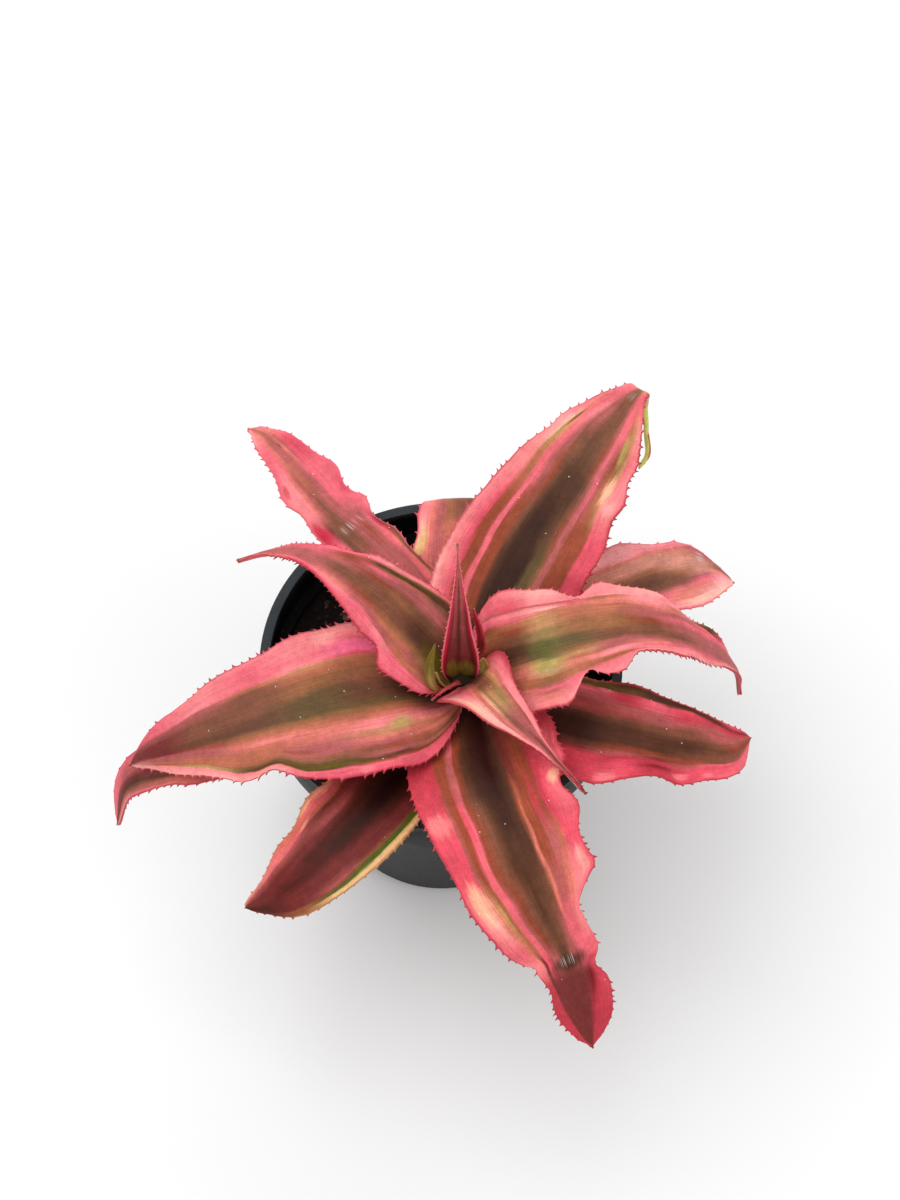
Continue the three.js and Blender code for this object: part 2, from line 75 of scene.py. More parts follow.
RUFFLES, RUFFLE_WAY = [(0.16, 0.5), (0.45, 0.22)], [0.15, 0.15, 1]  # noise: pace per mm, height
ACROSS = [0, 0.07, 0.14, 0.21, 0.28, 0.35, 0.42, 0.49, 0.56, 0.63, 0.7, 0.77, 0.84, 0.9, 0.95, 0.985, 1]
CURVE_STEPS = 1600

REACH = 17  # the leaf map's half width
MAP_WIDTH = 2 * REACH
MAP_LEAST, MAP_INSET = 0.3, 0.97  # the least half width on the map, and how far out its tracks may run
WANDER, FRAY = 1.7, 1.1  # how far the bands sway and fray
RIM_WIDTH, CREASE_END = 0.55, 0.8

# ---------------------------------------------------------------- colours

PALETTE = dict(
    blush="fea8a2", coral="fb888c", pink="ea6876", rose="dd4f62", red="c03a4a", garnet="7a1620",
    wine="77302f", mauve="b25b5a", salmon="dc7769", clay="bb6a50", tan="c68c60", sand="9a7a4c",
    bronze="97603f", russet="96452f", dusk="804d39", brown="6a4230", umber="533121", bark="3d2117",
    black="2a0b0c", olive="664f30", moss="686034", lime="b49c5a", fern="5f5210", shoot="a3a54a",
    cream="ffb99c", silver="dccac4", buff="d08872", crimson="c42440", candy="fd7096", khaki="80702c",
    parchment="d6ac70", oxblood="54201a", rust="a24a44", sprout="d2d070", straw="c8a278", grass="4e6618",
    wheat="f0cf94")


def colour(name):
    """The palette colour as linear red, green, blue and alpha."""
    code = PALETTE[name]
    srgb = [int(code[i:i + 2], 16) / 255 for i in (0, 2, 4)]
    return [c / 12.92 if c <= 0.04045 else ((c + 0.055) / 1.055) ** 2.4 for c in srgb] + [1]


# ---------------------------------------------------------------- leaves

# The leaves, from the lowest to the heart: the solid leaves' shapes, some of them a little finer. Places
# and widths of bands, blotches and creases are in mm across the leaf at its widest.
#   heading     the way the leaf points, in degrees from +x towards +y
#   midrib      points of the middle line from foot to tip
#   left, right   the half widths at even steps from foot to tip
#   roll, rise  the turn about the midrib in degrees, and how high the margins stand, in half widths
#   left_waves, right_waves   lift and sway in mm, count, start
#   nicks       small bumps and dents of the margin: t, side, depth in mm, half length as a share of the leaf
#   same_back   the underside has the upper side's finish beyond this t, and there are no spines
#   edges       the right and the left margin
#   spines      pitch and height in mm, and rim, their colour
#   tone        how much lighter the whole leaf is in red, green and blue; partly painted light and painted shade for the light each leaf gets
#   tracks      where a line of the pattern runs: its place, and its distance from the midrib from foot to tip
#   bands       t along the leaf, then places and colours from the right margin to the left one; a/b is a
#               stretch of one colour
#   blotches    t, place, half length as a share of the leaf, half width, colour, strength
#   creases     t, from, to, colour, strength
PLAIN = dict(roll=[0, 0], rise=[0.2, 0.2], left_waves=(0, 0, 1, 0), right_waves=(0, 0, 1, 0), nicks=[],
             same_back=1, tone_and_painted_light=(1, 1, 1), rim="red", tracks=[], blotches=[], creases=[])
LEAVES = {}

LEAVES["leaf_outer_right_back"] = dict(
    PLAIN, heading=22,
    midrib=[(3.8, -5.5, 49.6), (11, 1, 53.5), (19, 8, 57), (27.5, 13, 59.8), (36.5, 16, 61), (45, 18, 60.5),
            (51, 18.5, 57.5), (54.5, 17.8, 54)],
    left=[2.4, 6, 6.6, 6.6, 6.3, 6, 3.3, 0.4], right=[2.4, 6, 7.2, 8, 8.6, 9, 8.4, 0.4],
    roll=[8, 0, 0], rise=[0, 0.05, 0.1, 0.1], left_waves=(0.5, 0.5, 5, 0.1), right_waves=(0.5, 0.4, 5, 0.3),
    edges=(-9, 6.5), spines=(2.2, 0.45), tone_and_painted_light=(1.05, 1.12, 1.2), rim="pink",
    tracks=[
        (-4.5, [-1, -2.4, -3.4, -4, -4.5, -4.8, -5, -4.9, -4.1, -2, -0.2]),
        (3.5, [1.2, 2.6, 3.2, 3.3, 3.3, 3.3, 3.5, 3.9, 3.9, 3.2, 0.3]),
    ],
    # The buff across the middle and the blush and coral on the left half are lighter than the leaf's own
    # colours: painted light that offsets the shade the leaf above casts on it.
    bands="""
    0.62: -5 coral -4.6 mauve -3.8 brown -2.5 umber -1.2 dusk -.4 bronze .8/2.4 buff 3 salmon 3.8 blush;
    0.7: -9 coral -5.4 pink -4.8 mauve -4 dusk -3/-1.8 brown -.8 dusk 0 bronze 1.2/2.8 buff 3.3 salmon
      3.9 coral 6.5 blush;
    0.78: -9 blush -7.5/-5.4 salmon -4.6 mauve -4/-2.6 dusk -1.2 bronze 0/2 buff 3 salmon 3.9 coral;
    0.86: -9 cream -8 blush -6 salmon -4.4 pink -3.4 mauve -2/1 buff 3 mauve 4 salmon 6.5 coral;
    0.94: -9 cream -6 blush -4 coral -1.5 salmon 0 dusk 4 clay 6.5 coral""",
    blotches=[(0.83, -7.8, 0.08, 0.8, "cream", 0.7)],
    creases=[(0.862, 0.3, 3.4, "silver", 0.6)])

LEAVES["leaf_outer_left_front"] = dict(
    PLAIN, heading=229,
    midrib=[(3.8, -5.5, 50.8), (0, -11.5, 54.6), (-5, -18, 57.4), (-12, -26.5, 59.3), (-18.5, -34.5, 59.4),
            (-24.5, -40, 57.4), (-29.5, -42.5, 54), (-34.5, -44, 48.5)],
    left=[2.4, 6.5, 8.6, 10, 10, 8.8, 6.2, 0.4], right=[2.4, 6.5, 7.6, 8, 7.6, 6.4, 3.2, 0.4],
    roll=[4, 0, 0], rise=[0, 0.05, 0.1, 0.1], left_waves=(0.3, 0.2, 4, 0), right_waves=(0.5, 0.5, 5, 0.25),
    edges=(-8, 10), spines=(1.6, 0.5), tone_and_painted_light=(0.92, 0.78, 0.72), rim="tan",
    tracks=[
        (-5.4, [-1.5, -3.5, -4.8, -5.2, -5.2, -5.3, -5.2, -4.7, -3.2, -1.5, -0.2]),
        (8.6, [2, 5, 7, 8, 8.7, 9, 8.6, 8.1, 6.6, 4.6, 0.3]),
    ],
    bands="""
    0.45: -8 salmon -6.2 mauve -5.4 russet -4.5/-3 wine -2 oxblood -1 bark 1/2.4 black 3.4 bark
      4.4 oxblood 5.6/6.8 wine 7.5 dusk 7.9/8.4 grass 8.8 wheat;
    0.6: -8 cream -7.2 salmon -6 pink -5.4 clay -4.8 wine -3 mauve -2.2 wine -1.2/0 oxblood 1/2 bark
      3.2 oxblood 4.4/6.8 wine 7.4 bronze 7.9/8.4 grass 8.8 wheat;
    0.72: -6 salmon -5.4 pink -4.9 mauve -3/-1.8 wine -.8/2.4 oxblood 3.8/5.4 wine 7.2 mauve 7.8 dusk
      8.1/8.5 grass 8.9 wheat;
    0.82: -5.6 coral -5 mauve -3/-1 wine 1.5 oxblood 3.5/7.4 wine 8.2 bronze;
    0.93: -8 blush -5 mauve -2/1 wine 4/7 oxblood 9 wine 10 rust""",
    blotches=[(0.55, -7.4, 0.05, 0.9, "cream", 0.6), (0.63, -7.7, 0.04, 0.8, "cream", 0.8),
              (0.665, -5.5, 0.035, 0.25, "cream", 0.7)])

LEAVES["leaf_outer_back"] = dict(
    PLAIN, heading=93,
    midrib=[(3.8, -5.5, 51.6), (3.6, 3, 55.6), (3.2, 12, 58.2), (2.6, 21, 59.5), (2.2, 28, 59.8),
            (2, 33.2, 58.4), (1.8, 34.5, 51.5), (1.6, 34.6, 44.5)],
    left=[2.4, 5.8, 7, 7.8, 7.4, 5.4, 3.8, 0.4], right=[2.4, 5.6, 6.4, 6.8, 7, 6.4, 4.4, 0.4],
    roll=[4, 0, 0], rise=[0, 0.05, 0.05, 0], left_waves=(0.8, 0.4, 6, 0.2), right_waves=(0.8, 0.4, 7, 0.5),
    edges=(-6.6, 7.2), spines=(1.6, 0.7), tone_and_painted_light=(1.2, 1.2, 1.25),
    tracks=[
        (-4.4, [-1.6, -3.1, -4, -4.2, -4.4, -4.5, -4.5, -4.2, -3.5, -2.2, -0.2]),
        (5, [1.6, 3.2, 4.2, 4.6, 5, 5.1, 4.6, 3.6, 3, 1.9, 0.2]),
    ],
    bands="""
    0.5: -3.4 mauve 0 clay 3.8 mauve 5.2 salmon 6.2 parchment 7.2 cream;
    0.6: -4 dusk -2.4 bronze -1 mauve 1 clay 3.4 mauve 5 salmon 6.2 cream 7.2 coral;
    0.68: -5 olive -4 brown -2.6/-1 dusk 1 bronze 3.4 mauve 5 salmon 6.2 coral""",
    blotches=[(0.56, 6, 0.06, 1.2, "parchment", 0.8)])

LEAVES["leaf_outer_left"] = dict(
    PLAIN, heading=204,
    midrib=[(3.8, -5.5, 53), (-6, -9.2, 57.5), (-16, -13.2, 60.4), (-27, -17.2, 61.6), (-38.5, -20.2, 60.2),
            (-48.5, -20.5, 55.8), (-56.5, -20.8, 49.5), (-59, -25.5, 41.5)],
    left=[2.2, 4.8, 6, 5.6, 4.4, 3.4, 2.8, 0.4], right=[2.4, 6, 7, 7.2, 7, 5.6, 4.2, 0.4],
    roll=[8, 4, 0], rise=[0, 0.05, 0.1, 0.1], left_waves=(0.3, 0.3, 6, 0.2), right_waves=(0.4, 0.4, 6, 0.5),
    edges=(-7, 6), spines=(1.6, 0.5),
    tracks=[
        (-4.6, [-1.6, -3.3, -4.3, -4.6, -4.7, -4.7, -4.4, -3.7, -3.2, -2.1, -0.2]),
        (4, [1.4, 2.7, 3.5, 3.9, 3.7, 3.3, 2.7, 2.3, 2, 1.4, 0.2]),
    ],
    bands="""
    0.3: -7 rose -4.6 red 0 brown 4 red 6 pink;
    0.7: -3.5 pink -1.4 red 0/1.4 mauve 2.6 brown 3.7/5 salmon 6 coral;
    0.85: -7 pink -3.5/-2 mauve 0 wine 2 umber 3.7 dusk 5.2 mauve 6 coral;
    0.95: -3 pink -.7/2.6 wine 4.3 salmon 6 blush""")

LEAVES["leaf_outer_right"] = dict(
    PLAIN, heading=344,
    midrib=[(3.8, -5.5, 53.8), (12, -9.5, 58), (20, -13, 60.4), (28.5, -15.7, 61.8), (36, -17, 61.8),
            (44, -17.4, 60), (51, -16.6, 57.2), (55.8, -13.6, 54)],
    left=[2.4, 5, 7, 8.3, 9, 9.2, 9.2, 9.4, 9.2, 8.2, 7.2, 6.2, 4.8, 3.1, 0.4],
    right=[2.4, 4.6, 6.5, 7.6, 8.6, 9.6, 10.4, 10.5, 8.7, 7.5, 8.1, 6.9, 6.1, 4.2, 0.4],
    roll=[6, 0, 0], rise=[0, 0.1, 0.1, 0.1], left_waves=(0.3, 0, 4, 0), right_waves=(0.6, 0, 4, -0.3),
    edges=(-9.5, 9.3), spines=(1.6, 0.45), tone_and_painted_light=(1.08, 1.0, 1.0),
    tracks=[
        (-3.5, [-0.8, -1.8, -2.8, -3.2, -3.4, -3.6, -3.9, -3.9, -3.6, -3, -0.2]),
        (7.5, [2, 5, 7, 8, 8.2, 7.6, 7, 6.3, 5, 3, 0.3]),
    ],
    bands="""
    0.42: -4.6 red -3.8 wine -2.8 umber -2/1 bark 2 umber 3.2/4.4 rust 5.6 mauve 6.8 pink 7.3 mauve
      7.7 fern 8.8 olive 9.3 tan;
    0.55: -6.5 rose -4.8 red -4 mauve -3.2 russet -2/1.2 umber 2.4 brown 3.6 rust 4.8 mauve 6.2/7.3 red
      7.7 olive 9 umber 9.3 salmon;
    0.65: -8 red -6.4 garnet -5 red -4 wine -3.2 russet -2/.6 umber 1.6 brown 2.8 dusk 3.8/5 mauve
      6/7.2 pink 7.7/9 umber 9.3 salmon;
    0.75: -6 rose -4.6 mauve -3.5 russet -2.2 brown -.6/.8 umber 2/3.2 dusk 4.2 mauve 5.4 red 7.2 rose
      7.7 umber 8.9 bark 9.3 salmon;
    0.85: -9.5 pink -5 rose -4.2 pink -3.5/-2 dusk 0 brown 1.6 dusk 3/5 mauve 6.8 red 7.4/8.6 umber
      9.3 pink;
    0.94: -4.6 pink -3.6 mauve -2 dusk 0 russet 3 mauve 6 red 7.3 wine 8.2 red 9.3 pink""",
    blotches=[(0.52, -8.6, 0.035, 1.6, "coral", 0.7), (0.725, -7.6, 0.03, 1.1, "coral", 0.7),
              (0.81, -8, 0.02, 0.9, "coral", 0.5), (0.47, 7.2, 0.03, 0.6, "coral", 0.5)])

LEAVES["leaf_outer_left_back"] = dict(
    PLAIN, heading=127,
    midrib=[(3.8, -5.5, 54.8), (0.5, 4, 59), (-5, 13.5, 61.4), (-12, 21.5, 62.2), (-20, 29.5, 61),
            (-27, 38, 60.3), (-33.5, 46, 58), (-37.5, 52.5, 52.5)],
    left=[2.4, 4.5, 6, 6.5, 6.6, 6.6, 6.5, 6.5, 6.5, 6.5, 5.4, 6, 4.2, 3, 2.1, 0.9, 0.4],
    right=[2.4, 4.4, 5.8, 6, 5.8, 5, 4.2, 5.2, 4.2, 6.2, 5, 6.4, 5.4, 4.9, 4.1, 2.4, 0.4],
    roll=[6, 0, 0], rise=[0, 0.05, 0.1, 0.1], left_waves=(0.4, 0, 7, 0.1), right_waves=(0.4, 0, 7, 0.5),
    edges=(-6, 6.5), spines=(1.8, 0.5), rim="pink",
    tracks=[
        (-2.5, [-1, -2.2, -2.6, -2.6, -2.6, -2.8, -2.2, -1.8, -2, -1.6, -0.2]),
        (3, [1.2, 2.8, 3.6, 3.8, 3.8, 3.6, 2.7, 2, 1.4, 0.8, 0.1]),
    ],
    bands="""
    0.4: -5 dusk -4.2 salmon -3 pink -2/0 mauve 1 rust 1.8 mauve 2.6 russet 3.4 mauve 4.4 pink
      5.4 mauve 6.5 pink;
    0.48: -6 wine -4.6 red -3.4 pink -2.4 mauve -1.6 russet -.4 mauve .8/2.2 dusk 3 brown 3.4 mauve
      4 pink;
    0.54: -6 coral -4.6 pink -3/-.4 mauve .8/3 dusk 3.6 wine 4.4 red 5.4 crimson;
    0.62: -6 rose -4/-2.4 pink -1.4/-.2 mauve 1 dusk 2.2 mauve 3 salmon 3.8 coral;
    0.7: -2.6 pink -1.8/-.8 mauve .8 clay 2 mauve 2.8 salmon 3.6/5 coral 6.5 pink;
    0.82: -3.4 rose -2.7 mauve -2 salmon -1/.6 mauve 1.6 salmon 3 pink;
    0.93: -6 coral -3 salmon -1.6 mauve -.4 clay .8 salmon 3 coral 6.5 blush""",
    blotches=[(0.835, -1.2, 0.013, 0.35, "umber", 0.85), (0.7, 5.2, 0.025, 0.8, "crimson", 0.6),
              (0.56, 5.6, 0.03, 1.2, "crimson", 0.7)],
    creases=[(0.52, -2.4, 2.4, "silver", 0.45)])

LEAVES["leaf_middle_front"] = dict(
    PLAIN, heading=288,
    midrib=[(3.8, -5.5, 55.8), (5.5, -14.5, 61), (7.5, -25, 65.6), (10.5, -34.5, 67.6), (14, -43, 67),
            (18, -50, 63.5), (22, -55.5, 56.5), (24.5, -61, 48.5), (26.5, -67, 41)],
    left=[2.2, 7.5, 12, 14, 13.8, 14, 11.6, 13.1, 11.2, 10.6, 7.2, 5.3, 5.4, 5.2, 5.3, 4.3, 0.4],
    right=[2.2, 5.5, 9, 11.4, 13, 13.2, 13, 12.8, 11.8, 11.8, 10.7, 9.1, 7, 5.1, 5.1, 3.6, 0.4],
    roll=[6, 0, 0], rise=[0, 0.05, 0.1, 0.1], left_waves=(0.9, 0, 4, 0.91), right_waves=(0.8, 0, 5, 0.1),
    nicks=[(0.585, 1, 1.4, 0.02), (0.65, 1, -0.9, 0.025), (0.79, 1, -1.5, 0.022), (0.745, -1, -0.8, 0.02)],
    edges=(-13, 12.5), spines=(1.5, 0.65), tone_and_painted_light=(1.1, 1.06, 1.0),
    tracks=[
        (-8.6, [-1.5, -5.6, -8.3, -8.6, -8.5, -8.3, -7.3, -5.6, -4.3, -3, -0.25]),
        (-5.6, [-1.2, -3.8, -5.3, -5.7, -5.9, -5.9, -5.4, -4.2, -3.4, -2.4, -0.2]),
        (3.8, [0.8, 2.6, 3.5, 3.8, 3.8, 3.7, 2.9, 1.9, 1.5, 1, 0.1]),
        (8, [1.2, 5.5, 7.6, 8, 7.9, 8.5, 6.4, 4.5, 3.7, 2.6, 0.3]),
    ],
    # Near the foot, the black and bark in the middle of the 0.14 and 0.28 stations are partly the leaf's dark
    # band and partly painted shade where the leaves above hang over it.
    bands="""
    0.14: -8.7 red -8.2/-6.3 russet -5.8/-5.2 pink -4.8 russet -3 umber -1.5 bark 2 black 3.4 umber
      5 wine 7.5 russet 8.1 red;
    0.28: -8.8 red -8.3/-6.7 russet -6.1/-5.2 mauve -4.7 russet -3.2 umber -1.6 bark 1 black 2 bark
      3 umber 4 wine 5.5/7.6 russet 8.3 red 9.5 rose 12.5 pink;
    0.4: -9 rose -8.5 mauve -7.6/-6.7 russet -6.1 rose -5.2 pink -4.7 russet -3 dusk -1.6 umber
      0/1.4 bark 2.7 umber 3.3 russet 3.7 clay 4.1/5.4 russet 6.2 red 7.2 russet 8 red 9 rose
      10.5 pink;
    0.5: -8.8 rose -8.4 mauve -7.4/-6.7 russet -6.1/-5.2 pink -4.7 russet -2.8 dusk -1.2/2.8 umber
      3.3 dusk 3.8 salmon 4.2/5.2 russet 6/7 mauve 7.8 clay 8.5 rose;
    0.6: -13 pink -9.6 blush -8.8 salmon -8.2/-7.6 tan -7 bronze -6.7 clay -6.1/-5.1 pink -4.6 mauve
      -3.4 russet -2 dusk 0 umber 1.8 brown 3 dusk 3.7 salmon 4.3/5.6 mauve 7 salmon 8.3 coral
      12.5 pink;
    0.69: -9.6 pink -8.8 salmon -7.8/-7 clay -6.3/-5.1 pink -4.5 mauve -3.4 russet -2 dusk 0 brown
      1.6 dusk 2.8 mauve 4/6.5 pink 8.4 coral;
    0.745: -8.8 coral -8.1 mauve -7.4 wine -6.6 pink -5.2 rose -4.2/-2.4 mauve -.8/.6 brown 2/3.5 mauve
      5 pink;
    0.81: -9.5 red -8.6/4.5 wine 6.5 garnet 8.4 red 12.5 rose;
    0.93: -9 red -7.5/4 wine 7 red""",
    blotches=[(0.56, -10.3, 0.055, 2, "cream", 0.95), (0.385, -11, 0.035, 2.6, "coral", 0.8),
              (0.355, 10.8, 0.022, 1.3, "cream", 0.8), (0.565, 10.6, 0.04, 1.5, "blush", 0.8),
              (0.22, 11, 0.03, 1, "coral", 0.4), (0.762, 0.6, 0.024, 6.5, "bark", 0.8),
              (0.772, 9, 0.01, 3.5, "red", 0.7), (0.75, -7.2, 0.03, 0.9, "garnet", 0.6)],
    creases=[(0.758, -3, 2.6, "silver", 0.8)])

LEAVES["leaf_middle_right_back"] = dict(
    PLAIN, heading=61,
    midrib=[(3.8, -5.5, 57.3), (7.5, 3, 62.8), (12, 12, 67.4), (17.5, 21, 71.8), (23, 29, 75.8),
            (29, 36.5, 79.3), (35.8, 43, 80.8), (37, 41.8, 76.6), (37.6, 38.8, 74.2), (37.9, 35, 72.6),
            (36.2, 32, 72.4)],
    left=[2.4, 5.3, 8.5, 10.9, 12.4, 13.1, 12.8, 12.2, 11.9, 11.5, 10.4, 9, 7.7, 7.3, 5, 2.9, 1.8, 0.6,
          0.35, 0.35, 0.3],
    right=[2.2, 5.1, 8.1, 10.7, 12.4, 13.2, 13.4, 13.2, 13.4, 12.9, 12, 12.3, 10.4, 10, 7.8, 4.7, 1.8, 0.6,
           0.35, 0.35, 0.3],
    roll=[6, 0, 0], rise=[0, 0.1, 0.1, 0.2, 0.3], left_waves=(0.8, 0.2, 5, 0.5),
    right_waves=(0.8, 0, 6, 0.07), same_back=0.83, edges=(-13, 12), spines=(1.5, 0.75),
    tone_and_painted_light=(1.05, 1.1, 1.05),
    tracks=[
        (-9.3, [-1.5, -5.5, -8.6, -9.6, -9.7, -8.6, -8.5, -6.8, -1.3, -0.2, -0.2]),
        (-5.3, [-1.2, -3.6, -5, -5.3, -5.5, -5.4, -5.1, -4, -1, -0.15, -0.15]),
        (6, [1.1, 3.8, 6.1, 6.1, 6, 5.1, 4.6, 3.2, 0.8, 0.15, 0.15]),
        (8.5, [1.6, 5.2, 8.7, 9, 8.5, 7.4, 6.3, 4.4, 1.2, 0.2, 0.2]),
    ],
    # The sprout of the curled tip, from 0.86 on, is lighter than the tip's own yellow-green: painted light,
    # as the tip hangs in shade.
    bands="""
    0.3: -9.6 rose -9.1/-6.3 russet -5.8/-5.1 mauve -4.6 bronze -3.6/-2.6 olive -1.6/1.6 bark 2.8 umber
      3.8/5.3 russet 5.7/6.3 pink 6.8/8.2 russet 8.7 rose 9.6 pink 11 coral 12 blush;
    0.42: -9.7 rose -9.2/-6.2 russet -5.7/-5.1 mauve -4.6 russet -3.6 brown -2.4 umber -1/1 bark
      2.2 umber 3 dusk 4.2/5.3 russet 5.7/6.3 pink 6.8/8.1 russet 8.7 rose 9.8 pink 12 coral;
    0.53: -13 pink -11.6/-9.6 coral -9.1 tan -7.8 clay -6.6 mauve -5.8 pink -5 mauve -4.2 dusk
      -3.2/1 umber 2 brown 3 russet 4.8 mauve 5.5/6.3 pink 7/7.9 clay 8.4 salmon 8.9 coral;
    0.62: -13 coral -9.7 pink -9.1 tan -8 bronze -6.9 russet -6.1 mauve -5.2 pink -4.6 mauve
      -3.8 russet -2.8 dusk -1.4/.6 brown 1.6/2.8 dusk 4 mauve 5.2 pink 6.4 salmon 7.3 tan 7.9 bronze
      8.4 cream 8.9 blush 12 coral;
    0.7: -9.6 coral -9 tan -7.6 clay -6.2/-5 pink -4.2 mauve -3/.6 dusk 1.8/3.2 mauve 5 coral 6.6 pink
      8 salmon 8.9 coral 12 pink;
    0.78: -13 rose -9/-6 pink -3.8 mauve -2.4/2 dusk 3.6 mauve 6 pink 12 coral;
    0.86: -13/12 sprout""",
    blotches=[(0.555, -8.9, 0.045, 1.1, "cream", 0.8), (0.655, -7.6, 0.045, 0.8, "lime", 0.9),
              (0.66, 7.5, 0.03, 0.5, "fern", 0.9), (0.6, 7.8, 0.05, 0.6, "lime", 0.7),
              (0.52, -11, 0.03, 1.4, "blush", 0.6)],
    creases=[(0.775, -2.4, 2.6, "silver", 0.7)])

LEAVES["leaf_middle_left"] = dict(
    PLAIN, heading=195,
    midrib=[(3.8, -5.5, 58.8), (-3.5, -8.2, 64), (-12, -11, 67.6), (-22, -14, 69), (-32.5, -16, 68),
            (-43, -17.3, 64.4), (-51, -18.8, 59.8), (-55.5, -19.5, 55)],
    left=[2, 7.4, 12.4, 15, 15.6, 15.4, 14.3, 13, 10.4, 10.8, 9.3, 7.6, 5.4, 2.6, 0.4],
    right=[2.2, 6, 9.6, 12.4, 14, 13.9, 13.4, 12.3, 10.7, 9.2, 7.7, 5.5, 4.3, 2.7, 0.4],
    roll=[5, 0, -10, -10], rise=[0, 0.05, 0.05, 0], left_waves=(0.9, 0, 4.5, 0.87),
    right_waves=(0.6, 0, 5, 0), edges=(-14, 15), spines=(1.5, 0.75),
    tracks=[
        (-7.5, [-1.3, -4.5, -7, -7.9, -7.5, -6.7, -5.5, -4.2, -2.8, -2.1, -0.3]),
        (-2, [-0.3, -1.5, -2, -2.2, -2.2, -1.7, -0.8, -0.1, 0.3, 0.4, 0]),
        (5, [1, 4.5, 4.5, 4.9, 4.9, 4.9, 4.8, 4.1, 3, 1.5, 0.1]),
        (12, [1.6, 5.4, 8.3, 10.6, 12.3, 13.5, 14, 13.2, 12, 12, 11.5, 9.6, 9.7, 9.3, 8.4, 7, 5.6, 4, 2.7,
              1.4, 0.25]),
    ],
    bands="""
    0.12: -8 candy -7 russet -2 bark 1.5 black 3.6 umber 4.6 wine 5.6 mauve 7 salmon 8 clay 9 salmon
      9.8 clay 10.8 dusk 11.6 clay 12 umber 12.5 rose 15 pink;
    0.28: -14 blush -12.4 coral -11.2 pink -10.2/-8.4 candy -7.7 rose -7.3 clay -5 bronze -2.6 dusk
      -1/1 brown 2.2 olive 3.4 bronze 4.3 clay 5.3 salmon 6.3 coral 7.4 tan 8.4 salmon 9.4 mauve
      10.2 russet 11 mauve 11.6 umber 12.1 russet 12.6 pink 15 rose;
    0.45: -10.6 coral -9.4 pink -8.2/-7.6 coral -7.2 tan -6 clay -4.5/-3 bronze -1.6/2 olive 2.9 bronze
      4 clay 4.8/6.2 salmon 8/9.4 mauve 10.3 bronze 10.9 brown 11.4/12.1 fern 12.4 umber 12.7 pink
      15 rose;
    0.6: -14 coral -12/-7.6 pink -7.1 clay -6/-1.6 dusk 0/2 brown 2.8 bronze 4 clay 4.8/5.8 salmon
      6.8/9.6 clay 10.6 bronze 11.7 umber 12.2 fern 12.6 coral 15 blush;
    0.75: -7.7 coral -7 mauve -4/0 dusk 1/2.6 brown 3.6 russet 4.8/6.4 mauve 8.4/10.6 clay 11.7 lime
      12.4 coral 15 blush;
    0.88: -7.7 pink -7 mauve -4/4 wine 5.2/8 mauve 10 clay 11.6 bronze 12.4 coral 15 blush;
    0.97: -14 rose -7/0 wine 5 mauve 15 blush""",
    blotches=[(0.235, 6.8, 0.04, 1.2, "lime", 0.8), (0.37, -12, 0.045, 1.6, "blush", 0.7),
              (0.45, -9.6, 0.05, 1, "coral", 0.5), (0.36, 13.6, 0.02, 1.2, "coral", 0.6),
              (0.33, 10.2, 0.05, 0.5, "dusk", 0.6), (0.5, 8.8, 0.06, 0.5, "russet", 0.5),
              (0.3, 5.6, 0.06, 0.8, "coral", 0.5), (0.56, 5.4, 0.07, 0.6, "coral", 0.5)])

